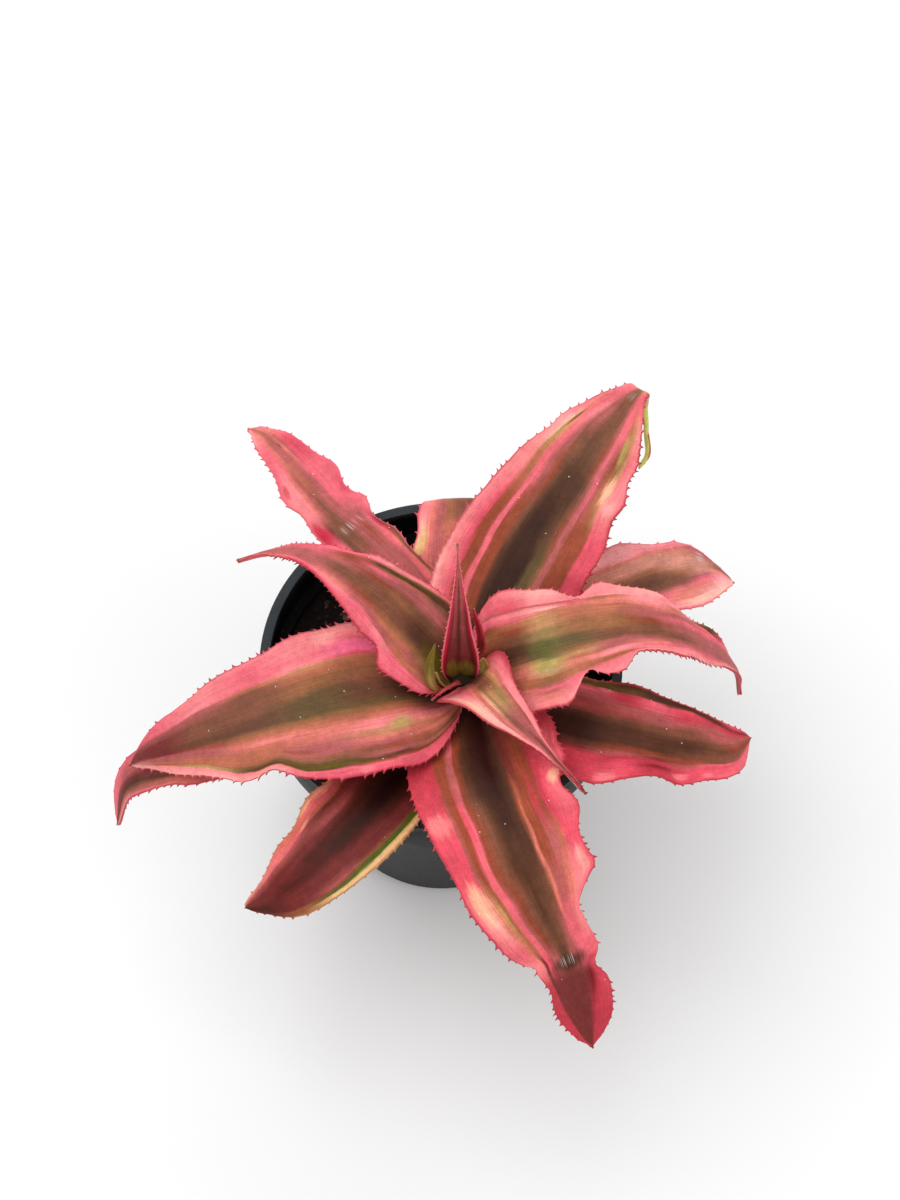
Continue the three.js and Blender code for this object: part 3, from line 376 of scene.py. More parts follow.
LEAVES["leaf_upper_right"] = dict(
    PLAIN, heading=5,
    midrib=[(3.8, -5.5, 59.4), (10.5, -4.5, 66.2), (18, -4, 71.8), (26, -3.5, 74.8), (34, -2, 74.6),
            (42, -1, 70.8), (49, -1, 64), (53.5, -1.5, 57), (55, -3, 50)],
    left=[2.4, 6.5, 10.5, 12.1, 11, 9.7, 7.2, 9, 7.9, 6.7, 4.9, 3.8, 3.4, 2.2, 1.1, 0.5, 0.12],
    right=[2.4, 4.4, 6.4, 8.6, 10.3, 11.3, 11.8, 12, 11.6, 6.4, 7.3, 7.4, 4.8, 4.7, 4.8, 4.8, 4.2, 3.7, 3.1,
           2.6, 2, 1.6, 1, 0.5, 0.12],
    roll=[12, 4, 0], rise=[0, 0.1, 0.15, 0.1], left_waves=(0.6, 0, 5, 0.35), right_waves=(1, 0, 3, 0.5),
    same_back=0.84, edges=(-11.5, 11.5), spines=(1.2, 0.58), tone_and_painted_light=(1.05, 1.1, 1.08),
    tracks=[
        (-7.5, [-1.4, -4.4, -6.9, -7.8, -5.6, -4.5, -4.2, -3.3, -2.2, -0.9, -0.2]),
        (-4, [-1, -3, -4.2, -4.5, -3.9, -3.7, -3.3, -2.6, -1.8, -0.7, -0.1]),
        (6, [1.3, 6.2, 6.2, 6, 5.7, 5, 3.9, 3.3, 2.2, 0.7, 0.15]),
        (7.6, [1.6, 7.7, 7.9, 7.2, 6.8, 6.4, 5.3, 3.8, 2.5, 0.8, 0.2]),
    ],
    bands="""
    0.11: -7.6 pink -7.2/-4.6 bronze -4 salmon -3.2 bronze -2 dusk -.8/1 umber 2.4 russet 4 bronze
      5.6 russet 6.2/7.2 pink 7.6 mauve 8 pink;
    0.2: -9 coral -7.8 salmon -7.3/-5.6 clay -4.6/-3.6 salmon -2.8 clay -2 dusk -1.2 brown -.6/1 umber
      1.8 brown 3 dusk 4.2 russet 5.4 clay 6 pink 7.2 coral 7.6 mauve 8 rose 9.6 pink 11.5 coral;
    0.28: -11.5 coral -9.4 salmon -8.6 mauve -8 pink -7.6 mauve -7/-6 bronze -5.2 tan -4.4 straw
      -3.8/-2.8 lime -2/.8 moss 1.6/2.8 sand 3.8/5.4 tan 6 salmon 6.5 blush 7.2 coral 7.6 mauve
      8 coral 11.5 blush;
    0.36: -11.5 coral -7.7 pink -7.2/-5.2 clay -4.4/-3.6 salmon -3 clay -2.2 tan -1.4 bronze
      -.6/.8 olive 1.8/3.2 bronze 4.2/5.4 clay 6 salmon 7.2 pink 7.6 mauve 8 coral;
    0.45: -11.5 coral -8 pink -7.5 clay -6.6 russet -5.4 clay -4.6/-3.8 coral -3/-2 mauve -1.2/0 dusk
      1.2/3 bronze 4.6/5.5 clay 6/6.8 salmon 7.4 bronze 7.9 coral;
    0.55: -7.4 coral -6.8 pink -5.2 coral -4.2 pink -3 salmon -2.2 mauve -1.2/1 dusk 2.4 russet
      3.6/5 mauve 5.8 salmon 6.6 coral 11.5 blush;
    0.66: -6 coral -4 pink -2.6 mauve -1.2 dusk 1.2/2.2 mauve 3.6 pink 4.8 mauve 5.6 salmon 6.4 clay
      7.2 coral;
    0.74: -11.5 blush -7 coral -4 pink -2.4/1.6 mauve 3.5/5.2 pink 5.8 bark 7 fern 9 bark 10.4 fern
      11.5 clay;
    0.82: -6 coral -3/3 mauve 5.5 pink 7 rose 11.5 pink;
    0.9: -11.5 rose -5/0 mauve 4 red 11.5 rose""",
    blotches=[(0.26, -3.4, 0.035, 1.4, "lime", 0.5), (0.27, 0, 0.05, 1.2, "moss", 0.5),
              (0.43, 7.2, 0.03, 0.8, "bronze", 0.6), (0.3, 6.6, 0.03, 0.5, "cream", 0.5)],
    creases=[(0.43, 1.5, 6, "salmon", 0.35)])

LEAVES["leaf_upper_left"] = dict(
    PLAIN, heading=145,
    midrib=[(3.8, -5.5, 61.2), (-1, -4, 68), (-7, 0.5, 72.8), (-13, 3.5, 76.8), (-19.5, 7.5, 78.6),
            (-26, 11.5, 77.8), (-31.5, 13, 74.4), (-36.5, 14, 70)],
    left=[1.8, 4.4, 7.6, 9.1, 9.8, 6.8, 6.5, 4.9, 3.4, 2.2, 1.7, 1.4, 0.7, 0.35, 0.12],
    right=[2, 5.5, 8.2, 9, 9, 8.1, 7.4, 6.8, 5, 4.3, 2.4, 1.2, 0.7, 0.35, 0.12],
    roll=[6, 0, 0], rise=[0, 0.1, 0.2, 0.2], left_waves=(0.3, 0, 5, 0.8), right_waves=(0.4, 0, 4, 0.3),
    same_back=0.86, edges=(-8.5, 8.5), spines=(1.1, 0.7), tone_and_painted_light=(1.08, 1.08, 1.1),
    tracks=[
        (-7, [-1.6, -5.6, -8, -7.7, -6.4, -5.4, -4.4, -2.5, -0.9, -0.35, -0.2]),
        (-5, [-1.2, -3.8, -5.4, -5.5, -5, -4.5, -3.8, -2.2, -0.8, -0.3, -0.15]),
        (5.5, [1.4, 5.2, 6.1, 6, 4.1, 2.8, 1.9, 1.4, 1, 0.3, 0.2]),
    ],
    bands="""
    0.13: -8.5 pink -7.6 red -7 umber -6/-4 wine -1.5 umber 0/1.5 fern 2.8 moss 3.8 bronze 4.8 clay
      5.4 mauve 5.8 pink;
    0.25: -8.5 coral -7.6 russet -7.2/-6.6 umber -6.1 dusk -5.4/-4.6 mauve -3.6 dusk -2.6 brown
      -1.4/.4 umber 1.2 brown 2.2 bronze 3 clay 3.8 mauve 4.6/5.3 clay 5.7 pink;
    0.36: -7.7 coral -7.2 fern -6.5 umber -6 clay -5.2/-4.2 mauve -3.2 dusk -2.2 bronze -1/1.6 dusk
      2.6 bronze 3.6 clay 4.6/5.2 mauve 5.8 coral 8.5 pink;
    0.47: -8.5 blush -7.7 coral -7.2 umber -6.5 fern -6 mauve -5.4/-4.8 pink -4 mauve -3 russet
      -1.8/1 dusk 2.4 russet 3.4/4.2 mauve 5 pink;
    0.58: -7.2 pink -6/-4.8 russet -2.6 mauve -1.2/.8 dusk 2.6 mauve 4 salmon 5.6 coral 8.5 red;
    0.7: -5 pink -2.5/4 mauve 5.5 pink 8.5 red;
    0.9: 0 mauve 8.5 salmon""",
    blotches=[(0.3, 3.4, 0.05, 1, "clay", 0.4)])

LEAVES["leaf_upper_front"] = dict(
    PLAIN, heading=310,
    midrib=[(4.9, -6.9, 62.7), (7, -9.4, 67.6), (9.6, -13.2, 70.9), (13.2, -18, 72.3), (17.8, -23.6, 72),
            (21.8, -27.6, 70.4), (25, -30.4, 68)],
    left=[1.2, 4.4, 6.6, 5.6, 4.1, 3.2, 2.6, 1.9, 1.1, 0.8, 0.5, 0.3, 0.12],
    right=[1.2, 6.8, 7.6, 6.6, 5.4, 5, 4, 2.5, 1.3, 0.8, 0.5, 0.3, 0.12],
    roll=[10, 0, 0], rise=[0.4, 0.25, 0.2], left_waves=(0.15, 0, 4, 0), right_waves=(0.15, 0, 4, 0.4),
    edges=(-5.5, 5), spines=(1.2, 0.35), tone_and_painted_light=(1.05, 1.05, 1.05),
    tracks=[
        (-2.6, [-0.8, -2, -2.8, -3.2, -3.2, -2.7, -1.6, -0.7, -0.3, -0.25, -0.15]),
        (3.3, [1, 3.4, 3.5, 2.8, 2.2, 1.7, 1.1, 0.6, 0.35, 0.25, 0.15]),
    ],
    bands="""
    0.07: -3.5 pink -2.6/-1.8 mauve -1/1 umber 1.8 fern 2.6 bronze 3.2 russet 3.6 clay 5 red;
    0.2: -5.5 coral -4.6 blush -3.6 coral -3 pink -2.4 salmon -1.8 clay -.9/.6 dusk 1.4 bronze 2.2 tan
      3 salmon 3.5 coral 4.2 pink 5 wine;
    0.36: -5.5 blush -4.3 cream -3 blush -2.4 clay -1.9 salmon -1.4 cream -.8 sand 0 tan 1/1.8 sand
      2.7 clay 3.1 mauve 3.5 coral;
    0.52: -3.4 blush -2.7 mauve -2.1 salmon -1.4 mauve -.8 dusk 1/2.4 mauve 3 russet 3.5 coral;
    0.68: -3 coral -1.2 mauve 1 wine 2.6 mauve 3.5 coral;
    0.88: -5.5 mauve 0 wine 5 mauve""",
    blotches=[(0.33, -4.6, 0.08, 0.8, "cream", 0.6)])

LEAVES["leaf_heart_back"] = dict(
    PLAIN, heading=60,
    midrib=[(4.9, -4, 63.2), (7.1, -2.4, 68), (6.9, -1.2, 72.4), (5.7, 0.6, 77.2)],
    left=[0.6, 0.8, 0.7, 0.15], right=[0.6, 0.8, 0.7, 0.15],
    edges=(-1.2, 1.2), spines=(1, 0.3), tone_and_painted_light=(1.1, 1, 1),
    bands="""
    0.2: -1.2/1.2 fern;
    0.42: -1.2 garnet 0 wine .6 garnet 1.2 red;
    0.7: -1.2 red 0 garnet 1.2 red""")

LEAVES["leaf_heart_spike"] = dict(
    PLAIN, heading=90,
    midrib=[(3.8, -6, 62.6), (3.4, -5.7, 68.9), (3.2, -4, 74.3), (3.2, -1.1, 79.5), (3.1, 2.4, 84.6),
            (2.9, 6.8, 89.5)],
    left=[2, 2.9, 3.2, 3, 2.5, 2, 1.5, 1.05, 0.6, 0.26, 0.1],
    right=[2, 2.9, 3.3, 3.2, 2.7, 2.1, 1.6, 1.05, 0.6, 0.26, 0.1],
    rise=[0.35, 0.3], edges=(-4.4, 4.3), spines=(1, 0.38), tone_and_painted_light=(0.95, 0.95, 0.95), rim="coral",
    tracks=[
        (-2.7, [-1.3, -2.2, -2.7, -2.6, -2.1, -1.6, -1.2, -0.85, -0.5, -0.2, -0.1]),
        (2.6, [1.3, 2.2, 2.6, 2.4, 1.9, 1.5, 1.2, 0.85, 0.5, 0.2, 0.1]),
    ],
    bands="""
    0.05: -4.4 garnet -2.6/2.6 bark 4.3 garnet;
    0.18: -4.4 crimson -3 garnet -2.6 black -2.1 oxblood -1.6 wine 0 oxblood 1.7 wine 2.2/3 garnet
      4.3 crimson;
    0.32: -4.4 crimson -2.9 garnet -2.5 oxblood -2/-.5 wine .1 oxblood .7/2 wine 2.5 garnet 3.2 crimson;
    0.52: -4.4 crimson -3 garnet -2.4 wine -1.4 rust -.5 wine 0 oxblood .5 wine 1.5 rust 2.4 wine
      3 crimson;
    0.72: -4.4 crimson -2.6 red -1.2 mauve 0 wine 1.2 mauve 2.6 red 4.3 crimson;
    0.9: -4.4 red -2 mauve 0 clay 2 mauve 4.3 red""",
    blotches=[(0.15, -1.3, 0.1, 1.9, "khaki", 0.95), (0.155, 1.4, 0.1, 1.7, "khaki", 0.95)])

LEAVES["leaf_heart_hook"] = dict(
    PLAIN, heading=220,
    midrib=[(3.4, -7.5, 64.2), (3, -9, 67.4), (1, -11.2, 69.6), (-1.6, -13.5, 69.9)],
    left=[0.4, 0.36, 0.3, 0.12], right=[0.4, 0.36, 0.3, 0.12],
    edges=(-0.6, 0.6), spines=(1, 0.25), tone_and_painted_light=(0.8, 0.85, 0.8),
    bands="""
    0.1: -.6 bark 0 wine .6 garnet;
    0.5: -.6 wine -.2/.2 mauve .6 red;
    0.9: -.6 red 0 mauve .6 red""")

LEAVES["leaf_heart_green"] = dict(
    PLAIN, heading=90,
    midrib=[(0.4, -8.9, 64.6), (-1, -9.8, 66.6), (-1.9, -9, 69.4), (-1.8, -7.3, 72.4), (-0.9, -5.2, 75.2)],
    left=[0.3, 0.8, 0.9, 0.6, 0.1], right=[0.3, 0.8, 0.9, 0.6, 0.1],
    same_back=0, edges=(-1, 1), spines=(1, 0), rim="khaki",
    bands="""
    0.25: -1 sand -.2 lime .6 sand 1 khaki;
    0.75: -1 fern -.3 khaki .5 fern""")

# The small scales round the heart's foot, made as the leaves are.
SMALL = dict(PLAIN, rise=[0.3, 0.3], same_back=0, edges=(-1, 1), spines=(1, 0))
BRACT_SEED = 50
BRACTS = {
    "bract_right": dict(
        SMALL, heading=290, midrib=[(7.4, -6.6, 62.6), (8, -6.9, 65), (7.9, -6.4, 67.4), (7.3, -5.4, 69.8)],
        left=[0.6, 1, 0.9, 0.35], right=[0.6, 1, 0.9, 0.35], rim="lime",
        bands="0.2: -1/1 moss; 0.6: -1 lime 0 khaki 1 straw"),
    "bract_left": dict(
        SMALL, heading=215,
        midrib=[(1.2, -7.8, 63.4), (0.3, -8.3, 65.2), (-0.5, -8.2, 67), (-0.9, -7.4, 68.4)],
        left=[0.4, 0.6, 0.5, 0.35], right=[0.4, 0.6, 0.5, 0.35], rim="lime",
        bands="0.2: -1/1 moss; 0.6: -1 lime 0 shoot 1 straw"),
    "bract_low": dict(
        SMALL, heading=215,
        midrib=[(0.8, -8.6, 63.8), (-0.4, -9, 65.8), (-1.3, -8.8, 67.8), (-1.8, -7.9, 69.6)],
        left=[0.4, 0.6, 0.5, 0.35], right=[0.4, 0.6, 0.5, 0.35],
        bands="0.2: -1/1 wine; 0.6: -1 garnet 0 wine 1 red"),
}


def along(values, t):
    """Values along an evenly spaced list, smooth through every entry. t is an array from 0 to 1."""
    values = np.asarray(values, float)
    values = values if values.ndim > 1 else values[:, None]
    padded = np.vstack([2 * values[0] - values[1], values, 2 * values[-1] - values[-2]])
    x = np.clip(t, 0, 1) * (len(values) - 1)
    i = np.minimum(x.astype(int), len(values) - 2)
    f = (x - i)[:, None]
    before, a, b, after = (padded[i + k] for k in range(4))
    slope_a, slope_b = (b - before) / 2, (after - a) / 2
    bend = 3 * (b - a) - 2 * slope_a - slope_b
    return a + f * (slope_a + f * (bend + f * (2 * (a - b) + slope_a + slope_b)))


def even(points, t):
    """Points on the smooth curve through the given ones, at shares t of its length, and its length."""
    fine = np.linspace(0, 1, CURVE_STEPS + 1)
    path = along(points, fine)
    walked = np.concatenate([[0], np.cumsum(np.linalg.norm(np.diff(path, axis=0), axis=1))])
    return along(points, np.interp(t * walked[-1], walked, fine)), walked[-1]


def unit(a):
    """The vectors in the rows of a, each made one long."""
    return a / np.linalg.norm(a, axis=-1, keepdims=True)


def blade_surface(leaf, t, v, reach):
    """Points of the blade's middle surface, in mm, for arrays t along the leaf and v across it."""
    at, _ = even(leaf["midrib"], t)
    step = 1e-4
    ahead, _ = even(leaf["midrib"], np.minimum(t + step, 1))
    behind, _ = even(leaf["midrib"], np.maximum(t - step, 0))
    out = unit(ahead - behind)
    heading = math.radians(leaf["heading"])
    level = np.array([-math.sin(heading), math.cos(heading), 0])
    side = unit(level - (out @ level)[:, None] * out)
    roll = np.radians(along(leaf["roll"], t))
    up = np.cross(out, side)
    side, up = side * np.cos(roll) + up * np.sin(roll), up * np.cos(roll) - side * np.sin(roll)
    left = v > 0
    half = np.where(left, along(leaf["left"], t)[:, 0], along(leaf["right"], t)[:, 0])
    half = np.maximum(half, LEAST) * np.sqrt(np.clip((1 - t) / TIP_ROUND, 0.01, 1))
    for place, side_of, depth, long in leaf["nicks"]:
        half = half + np.where(np.sign(v) == side_of, depth * np.exp(-((t - place) / long) ** 2), 0) * v * v
    waves = np.where(left[:, None], leaf["left_waves"], leaf["right_waves"])
    swell = np.sqrt(np.sin(math.pi * np.clip(t, 0, 1))) * np.abs(v) ** 3
    wave = swell * np.sin(2 * math.pi * (waves[:, 2] * t + waves[:, 3]))
    spread = half * np.abs(v) + waves[:, 1] * wave + reach
    height = along(leaf["rise"], t)[:, 0] * half * v * v + waves[:, 0] * wave
    return at + side * (np.sign(v) * spread)[:, None] + up * height[:, None]


def tooth(row, v, draws, teeth):
    """The height of the margin's spines at each point of the blade: a slow rise, then a steep fall."""
    sizes = draws.uniform(*TOOTH_SIZES, (2, teeth + 1)) * (draws.random((2, teeth + 1)) > TOOTH_MISSING)
    edge = np.clip((np.abs(v) - 1 + TOOTH_EDGE) / TOOTH_EDGE, 0, 1) ** 2
    form = np.array(TOOTH_FORM)[row % len(TOOTH_FORM)]
    return form * sizes[(v > 0).astype(int), row // len(TOOTH_FORM)] * edge


def make_leaf(name, leaf, seed):
    """One leaf: a grid shaped to the blade, with spiny margins, given its thickness."""
    draws = np.random.default_rng(seed)
    _, length = even(leaf["midrib"], np.array([0.0]))
    pitch, height = leaf["spines"]
    teeth = max(5, round(length / pitch))
    rows = teeth * len(TOOTH_FORM)
    across = np.array([-a for a in reversed(ACROSS[1:])] + ACROSS)
    bpy.ops.mesh.primitive_grid_add(x_subdivisions=rows, y_subdivisions=len(across) - 1, size=1)
    piece = bpy.context.object
    piece.name = name.replace("leaf", "blade")
    mesh = piece.data
    flat = np.zeros(len(mesh.vertices) * 3)
    mesh.vertices.foreach_get("co", flat)
    flat = flat.reshape(-1, 3)
    row = np.rint((flat[:, 0] + 0.5) * rows).astype(int)
    column = np.rint((flat[:, 1] + 0.5) * (len(across) - 1)).astype(int)
    v = across[column]

    widths = draws.uniform(*TOOTH_PITCHES, teeth)
    widths /= widths.sum()
    starts = np.cumsum(widths) - widths
    walk = np.append((starts[:, None] + np.outer(widths, TOOTH_PLACES)).ravel(), 1)
    t = walk[row]
    slides = draws.uniform(-SLIDE, SLIDE, (2, SLIDE_POINTS)) + [[-STAGGER], [STAGGER]]
    slide = np.where(v > 0, along(slides[1], t)[:, 0], along(slides[0], t)[:, 0]) * np.abs(v) ** 4
    t = np.clip(t + slide * pitch / length * np.clip(8 * t * (1 - t), 0, 1), 0, 1)

    grown = np.clip(t / SPINES_FROM, 0, 1) * np.clip((leaf["same_back"] - t) / SPINES_FADE, 0, 1)
    profile = tooth(row, v, draws, teeth) * grown
    lean = TOOTH_LEAN * height * profile / length
    points = blade_surface(leaf, np.clip(t + lean, 0, 1), v, height * profile)
    # Narrow leaves are ruffled less and are thinner.
    widest = max(leaf["left"])
    points += ruffle(points, v, min(1.0, 0.45 + widest / 12))
    mesh.vertices.foreach_set("co", (points * MM).ravel())
    spread_uv(mesh, leaf, t, v)

    thin = piece.vertex_groups.new(name="thickness")
    weight = np.rint((1 - EDGE_THINNING * v * v) * (1 - np.clip(profile, 0, 1)) * THICKNESS_LEVELS)
    for level in np.unique(weight):
        thin.add(np.nonzero(weight == level)[0].tolist(), float(level / THICKNESS_LEVELS), "REPLACE")
    solid = piece.modifiers.new("thickness", "SOLIDIFY")
    solid.thickness = BLADE_MIDDLE * MM * min(1.0, 0.5 + widest / 10)
    solid.thickness_vertex_group = BLADE_TIP / BLADE_MIDDLE
    solid.vertex_group = "thickness"
    solid.offset = 0
    solid.material_offset = 1
    mesh.materials.append(leaf_finish(name, leaf, length))
    mesh.materials.append(under_finish)
    bpy.ops.object.modifier_apply(modifier="thickness")
    if leaf["same_back"] < 1:
        finish_back(mesh, leaf["same_back"])
    piece.vertex_groups.clear()
    bpy.ops.object.shade_smooth()
    bpy.ops.object.select_all(action="DESELECT")
    return piece


def finish_back(mesh, start):
    """Beyond start, as a share of the length, the underside gets the upper side's finish."""
    uv = mesh.uv_layers.active.data
    for face in mesh.polygons:
        if uv[face.loop_start].uv.x >= start:
            face.material_index = 0


def with_lumps(place, height, lumps):
    """The height with lumps of noise added, each a pace per mm and a height, at a place in mm."""
    for pace, size in lumps:
        height += noise.noise(place * pace) * size
    return height


def ruffle(points, v, size):
    """Small uneven waves that grow towards the margins, in mm."""
    lift = np.array([with_lumps(Vector(point), 0, RUFFLES) for point in points])
    lift *= np.abs(v) ** 1.5 * size
    return np.outer(lift, RUFFLE_WAY)


def spread_uv(mesh, leaf, t, v):
    """The map runs along the leaf from 0 to 1, and across it in the bands' mm, bent along the tracks."""
    left, right = (np.maximum(along(leaf[side], t)[:, 0], MAP_LEAST) for side in ("left", "right"))
    places = [leaf["edges"][0], *(place for place, _ in leaf["tracks"]), leaf["edges"][1]]
    low_end, high_end = -MAP_INSET * right, MAP_INSET * left
    tracks = [np.clip(along(path, t)[:, 0], low_end, high_end) for _, path in leaf["tracks"]]
    lines = [-right, *tracks, left]
    at = v * np.where(v > 0, left, right)
    across = np.full(len(t), float(places[0]))
    for low, high, place, following in zip(lines, lines[1:], places, places[1:]):
        across += (following - place) * np.clip((at - low) / np.maximum(high - low, 0.02), 0, 1)
    corner = np.zeros(len(mesh.loops), int)
    mesh.loops.foreach_get("vertex_index", corner)
    uv = np.column_stack([t[corner], share_of(across[corner])])
    mesh.uv_layers.active.data.foreach_set("uv", uv.ravel())


def share_of(place):
    """Where a place across the leaf, in mm, lies on the map."""
    return (place + REACH) / MAP_WIDTH


# ---------------------------------------------------------------- finishes

class Finish:
    """A material being put together from nodes."""

    def __init__(self, name):
        self.material = bpy.data.materials.new(name)
        self.material.use_nodes = True
        self.tree = self.material.node_tree
        self.shader = self.tree.nodes["Principled BSDF"]
        coordinates = self.node("ShaderNodeTexCoord").outputs
        self.place, self.uv = coordinates["Object"], coordinates["UV"]

    def node(self, kind, inputs=None, **settings):
        node = self.tree.nodes.new(kind)
        for key, value in settings.items():
            setattr(node, key, value)
        for key, value in (inputs or {}).items():
            self.put(node.inputs[key], value)
        return node

    def put(self, socket, value):
        if isinstance(value, bpy.types.NodeSocket):
            self.tree.links.new(value, socket)
        else:
            socket.default_value = value

    def set(self, **values):
        for key, value in values.items():
            self.put(self.shader.inputs[key.replace("_", " ")], value)

    def math(self, operation, a, b=0.0):
        return self.node("ShaderNodeMath", {0: a, 1: b}, operation=operation).outputs[0]

    def total(self, first, *others):
        for value in others:
            first = self.math("ADD", first, value)
        return first

    def product(self, first, *others):
        for value in others:
            first = self.math("MULTIPLY", first, value)
        return first

    def less(self, a, b):
        """a less b."""
        return self.math("SUBTRACT", a, b)

    def sway(self, value, size):
        """Noise from 0 to 1 as a sway of half the size to either side of zero."""
        return self.product(self.less(value, 0.5), size)

    def axis(self, vector, number):
        return self.node("ShaderNodeSeparateXYZ", {0: vector}).outputs[number]

    def smooth(self, value, low, high):
        node = self.node("ShaderNodeMapRange", {"Value": value, "From Min": low, "From Max": high})
        node.interpolation_type = "SMOOTHSTEP"
        return node.outputs[0]

    def noise(self, scale, detail=2.0, rough=0.5, vector=None):
        """Noise over the piece, or over another vector."""
        vector = self.place if vector is None else vector
        inputs = {"Vector": vector, "Scale": scale, "Detail": detail, "Roughness": rough}
        return self.node("ShaderNodeTexNoise", inputs).outputs[0]

    def stretched(self, scale, detail, rough):
        """Noise over the leaf's map, with a scale for each of its axes."""
        stretch = self.node("ShaderNodeMapping", {"Vector": self.uv, "Scale": scale})
        return self.noise(1.0, detail, rough, stretch.outputs[0])

    def ramp(self, value, stops):
        node = self.node("ShaderNodeValToRGB", {0: value})
        points = node.color_ramp.elements
        while len(points) < len(stops):
            points.new(0.5)
        for point, (place, tint) in zip(points, stops):
            point.position = place
            point.color = (*tint[:3], 1)
        return node.outputs[0]

    def blend(self, share, a, b, mode="MIX"):
        node = self.node("ShaderNodeMix", data_type="RGBA", blend_type=mode, clamp_factor=True)
        for key, value in ((0, share), (6, a), (7, b)):
            self.put(node.inputs[key], value)
        return node.outputs[2]

    def shaded(self, tint, value, dark, light, share=1.0):
        """The tint times dark where the noise is low, and times light where it is high."""
        return self.blend(share, tint, self.ramp(value, [(0.3, dark), (0.7, light)]), "MULTIPLY")

    def bump(self, height, strength, distance):
        inputs = {"Height": height, "Strength": strength, "Distance": distance}
        return self.node("ShaderNodeBump", inputs).outputs[0]


def stops_of(text):
    """A band list such as "-9 coral 0/2 brown 6 coral" as ramp stops."""
    words = text.split()
    return [(share_of(float(place)), colour(tint))
            for places, tint in zip(words[::2], words[1::2]) for place in places.split("/")]


def leaf_finish(name, leaf, length):
    """Bands across the leaf that change from foot to tip, fine lines along it, scurf and a soft gloss."""
    f = Finish(name)
    t, u = f.axis(f.uv, 0), f.axis(f.uv, 1)

    def streaks(long, wide, detail=2.0, rough=0.5):
        """Noise that is long mm along the leaf and wide mm across it."""
        return f.stretched((length / long, MAP_WIDTH / wide, 1), detail, rough)

    # the bands, blended from one station along the leaf to the next
    wander = f.sway(streaks(long=12, wide=9, detail=1.0), WANDER / MAP_WIDTH)
    frayed = streaks(long=7, wide=0.6, detail=3.0, rough=0.65)
    across = f.total(u, wander, f.sway(frayed, FRAY / MAP_WIDTH))
    stations = [station.split(":") for station in leaf["bands"].split(";")]
    tint = f.ramp(across, stops_of(stations[0][1]))
    for (before, _), (after, text) in zip(stations, stations[1:]):
        share = f.smooth(t, float(before), float(after))
        tint = f.blend(share, tint, f.ramp(across, stops_of(text)))

    # ragged blotches
    for spot_t, spot_place, long, wide, spot, strength in leaf["blotches"]:
        dt = f.product(f.less(t, spot_t), 1 / long)
        dv = f.product(f.less(across, share_of(spot_place)), MAP_WIDTH / wide)
        away = f.math("SQRT", f.total(f.product(dt, dt), f.product(dv, dv)))
        ragged = f.total(away, f.sway(frayed, 1.1))
        share = f.product(f.less(1.0, f.smooth(ragged, 0.35, 1.15)), strength)
        tint = f.blend(share, tint, colour(spot))

    # fine lines, patches and grain
    lines = streaks(long=14, wide=0.5, detail=3.0, rough=0.6)
    fine = streaks(long=5, wide=0.18, detail=2.0, rough=0.6)
    patches, flecks, grain = f.noise(260.0, 3.0), f.noise(900.0, 3.0), f.noise(4600.0, 2.0)
    for value, dark, light in [(lines, 0.88, 1.1), (fine, 0.92, 1.08), (patches, 0.88, 1.1),
                               (flecks, 0.9, 1.09), (grain, 0.86, 1.14)]:
        tint = f.shaded(tint, value, [dark] * 3, [light] * 3)

    # pale creases across the leaf, broken into fine strokes
    combed = streaks(long=30, wide=0.3, detail=1.0)
    for crease_t, low, high, spot, strength in leaf["creases"]:
        away = f.total(f.math("ABSOLUTE", f.less(t, crease_t)), f.product(lines, 0.02))
        near = f.less(1.0, f.smooth(away, 0.012, 0.03))
        begun = f.smooth(u, share_of(low), share_of(low + CREASE_END))
        ended = f.smooth(u, share_of(high - CREASE_END), share_of(high))
        inside = f.product(begun, f.less(1.0, ended))
        share = f.product(near, inside, f.smooth(combed, 0.5, 0.62), strength)
        tint = f.blend(share, tint, colour(spot))

    # scurf, as scattered pale dots
    cells = f.node("ShaderNodeTexVoronoi", {"Vector": f.place, "Scale": 420.0, "Randomness": 1.0}).outputs
    drawn = f.node("ShaderNodeSeparateColor", {0: cells["Color"]}).outputs[0]
    dot = f.product(f.math("LESS_THAN", cells["Distance"], 0.052), f.math("GREATER_THAN", drawn, 0.6))
    tint = f.blend(f.product(dot, 0.6), tint, (0.9, 0.85, 0.78, 1))

    # the coloured rim, and the whole leaf made lighter or darker: partly painted light and painted shade for
    # the light each leaf gets
    from_right = f.less(u, share_of(leaf["edges"][0]))
    from_left = f.less(share_of(leaf["edges"][1]), u)
    inward = f.math("MINIMUM", from_right, from_left)
    rim = f.less(1.0, f.smooth(inward, 0.0, RIM_WIDTH / MAP_WIDTH))
    tint = f.blend(f.product(rim, 0.85), tint, colour(leaf["rim"]))
    tint = f.blend(1.0, tint, (*leaf["tone_and_painted_light"], 1), "MULTIPLY")

    height = f.total(lines, f.product(fine, 0.5), f.product(f.noise(1400.0), 0.25))
    gloss = f.total(f.product(lines, 0.16), 0.4)
    f.set(Base_Color=tint, Roughness=gloss, Specular_IOR_Level=0.12, Normal=f.bump(height, 0.25, 0.0001))
    return f.material


def make_under_finish():
    """The silvery, finely lined underside of a leaf."""
    f = Finish("leaf_underside")
    bands = "-17 coral -9 blush -6 dusk -2.5/2.5 silver 6 dusk 9 blush 17 coral"
    lines = f.stretched((3, 90, 1), 3.0, 0.7)
    tint = f.shaded(f.ramp(f.axis(f.uv, 1), stops_of(bands)), lines, (0.6, 0.62, 0.58), (1.1, 1.1, 1.05), 0.8)
    scurf = f.smooth(f.noise(3800.0, 1.0), 0.5, 0.7)
    tint = f.blend(f.product(scurf, 0.35), tint, (0.75, 0.7, 0.68, 1))
    f.set(Base_Color=tint, Roughness=0.6, Normal=f.bump(lines, 0.3, 0.0001))
    return f.material


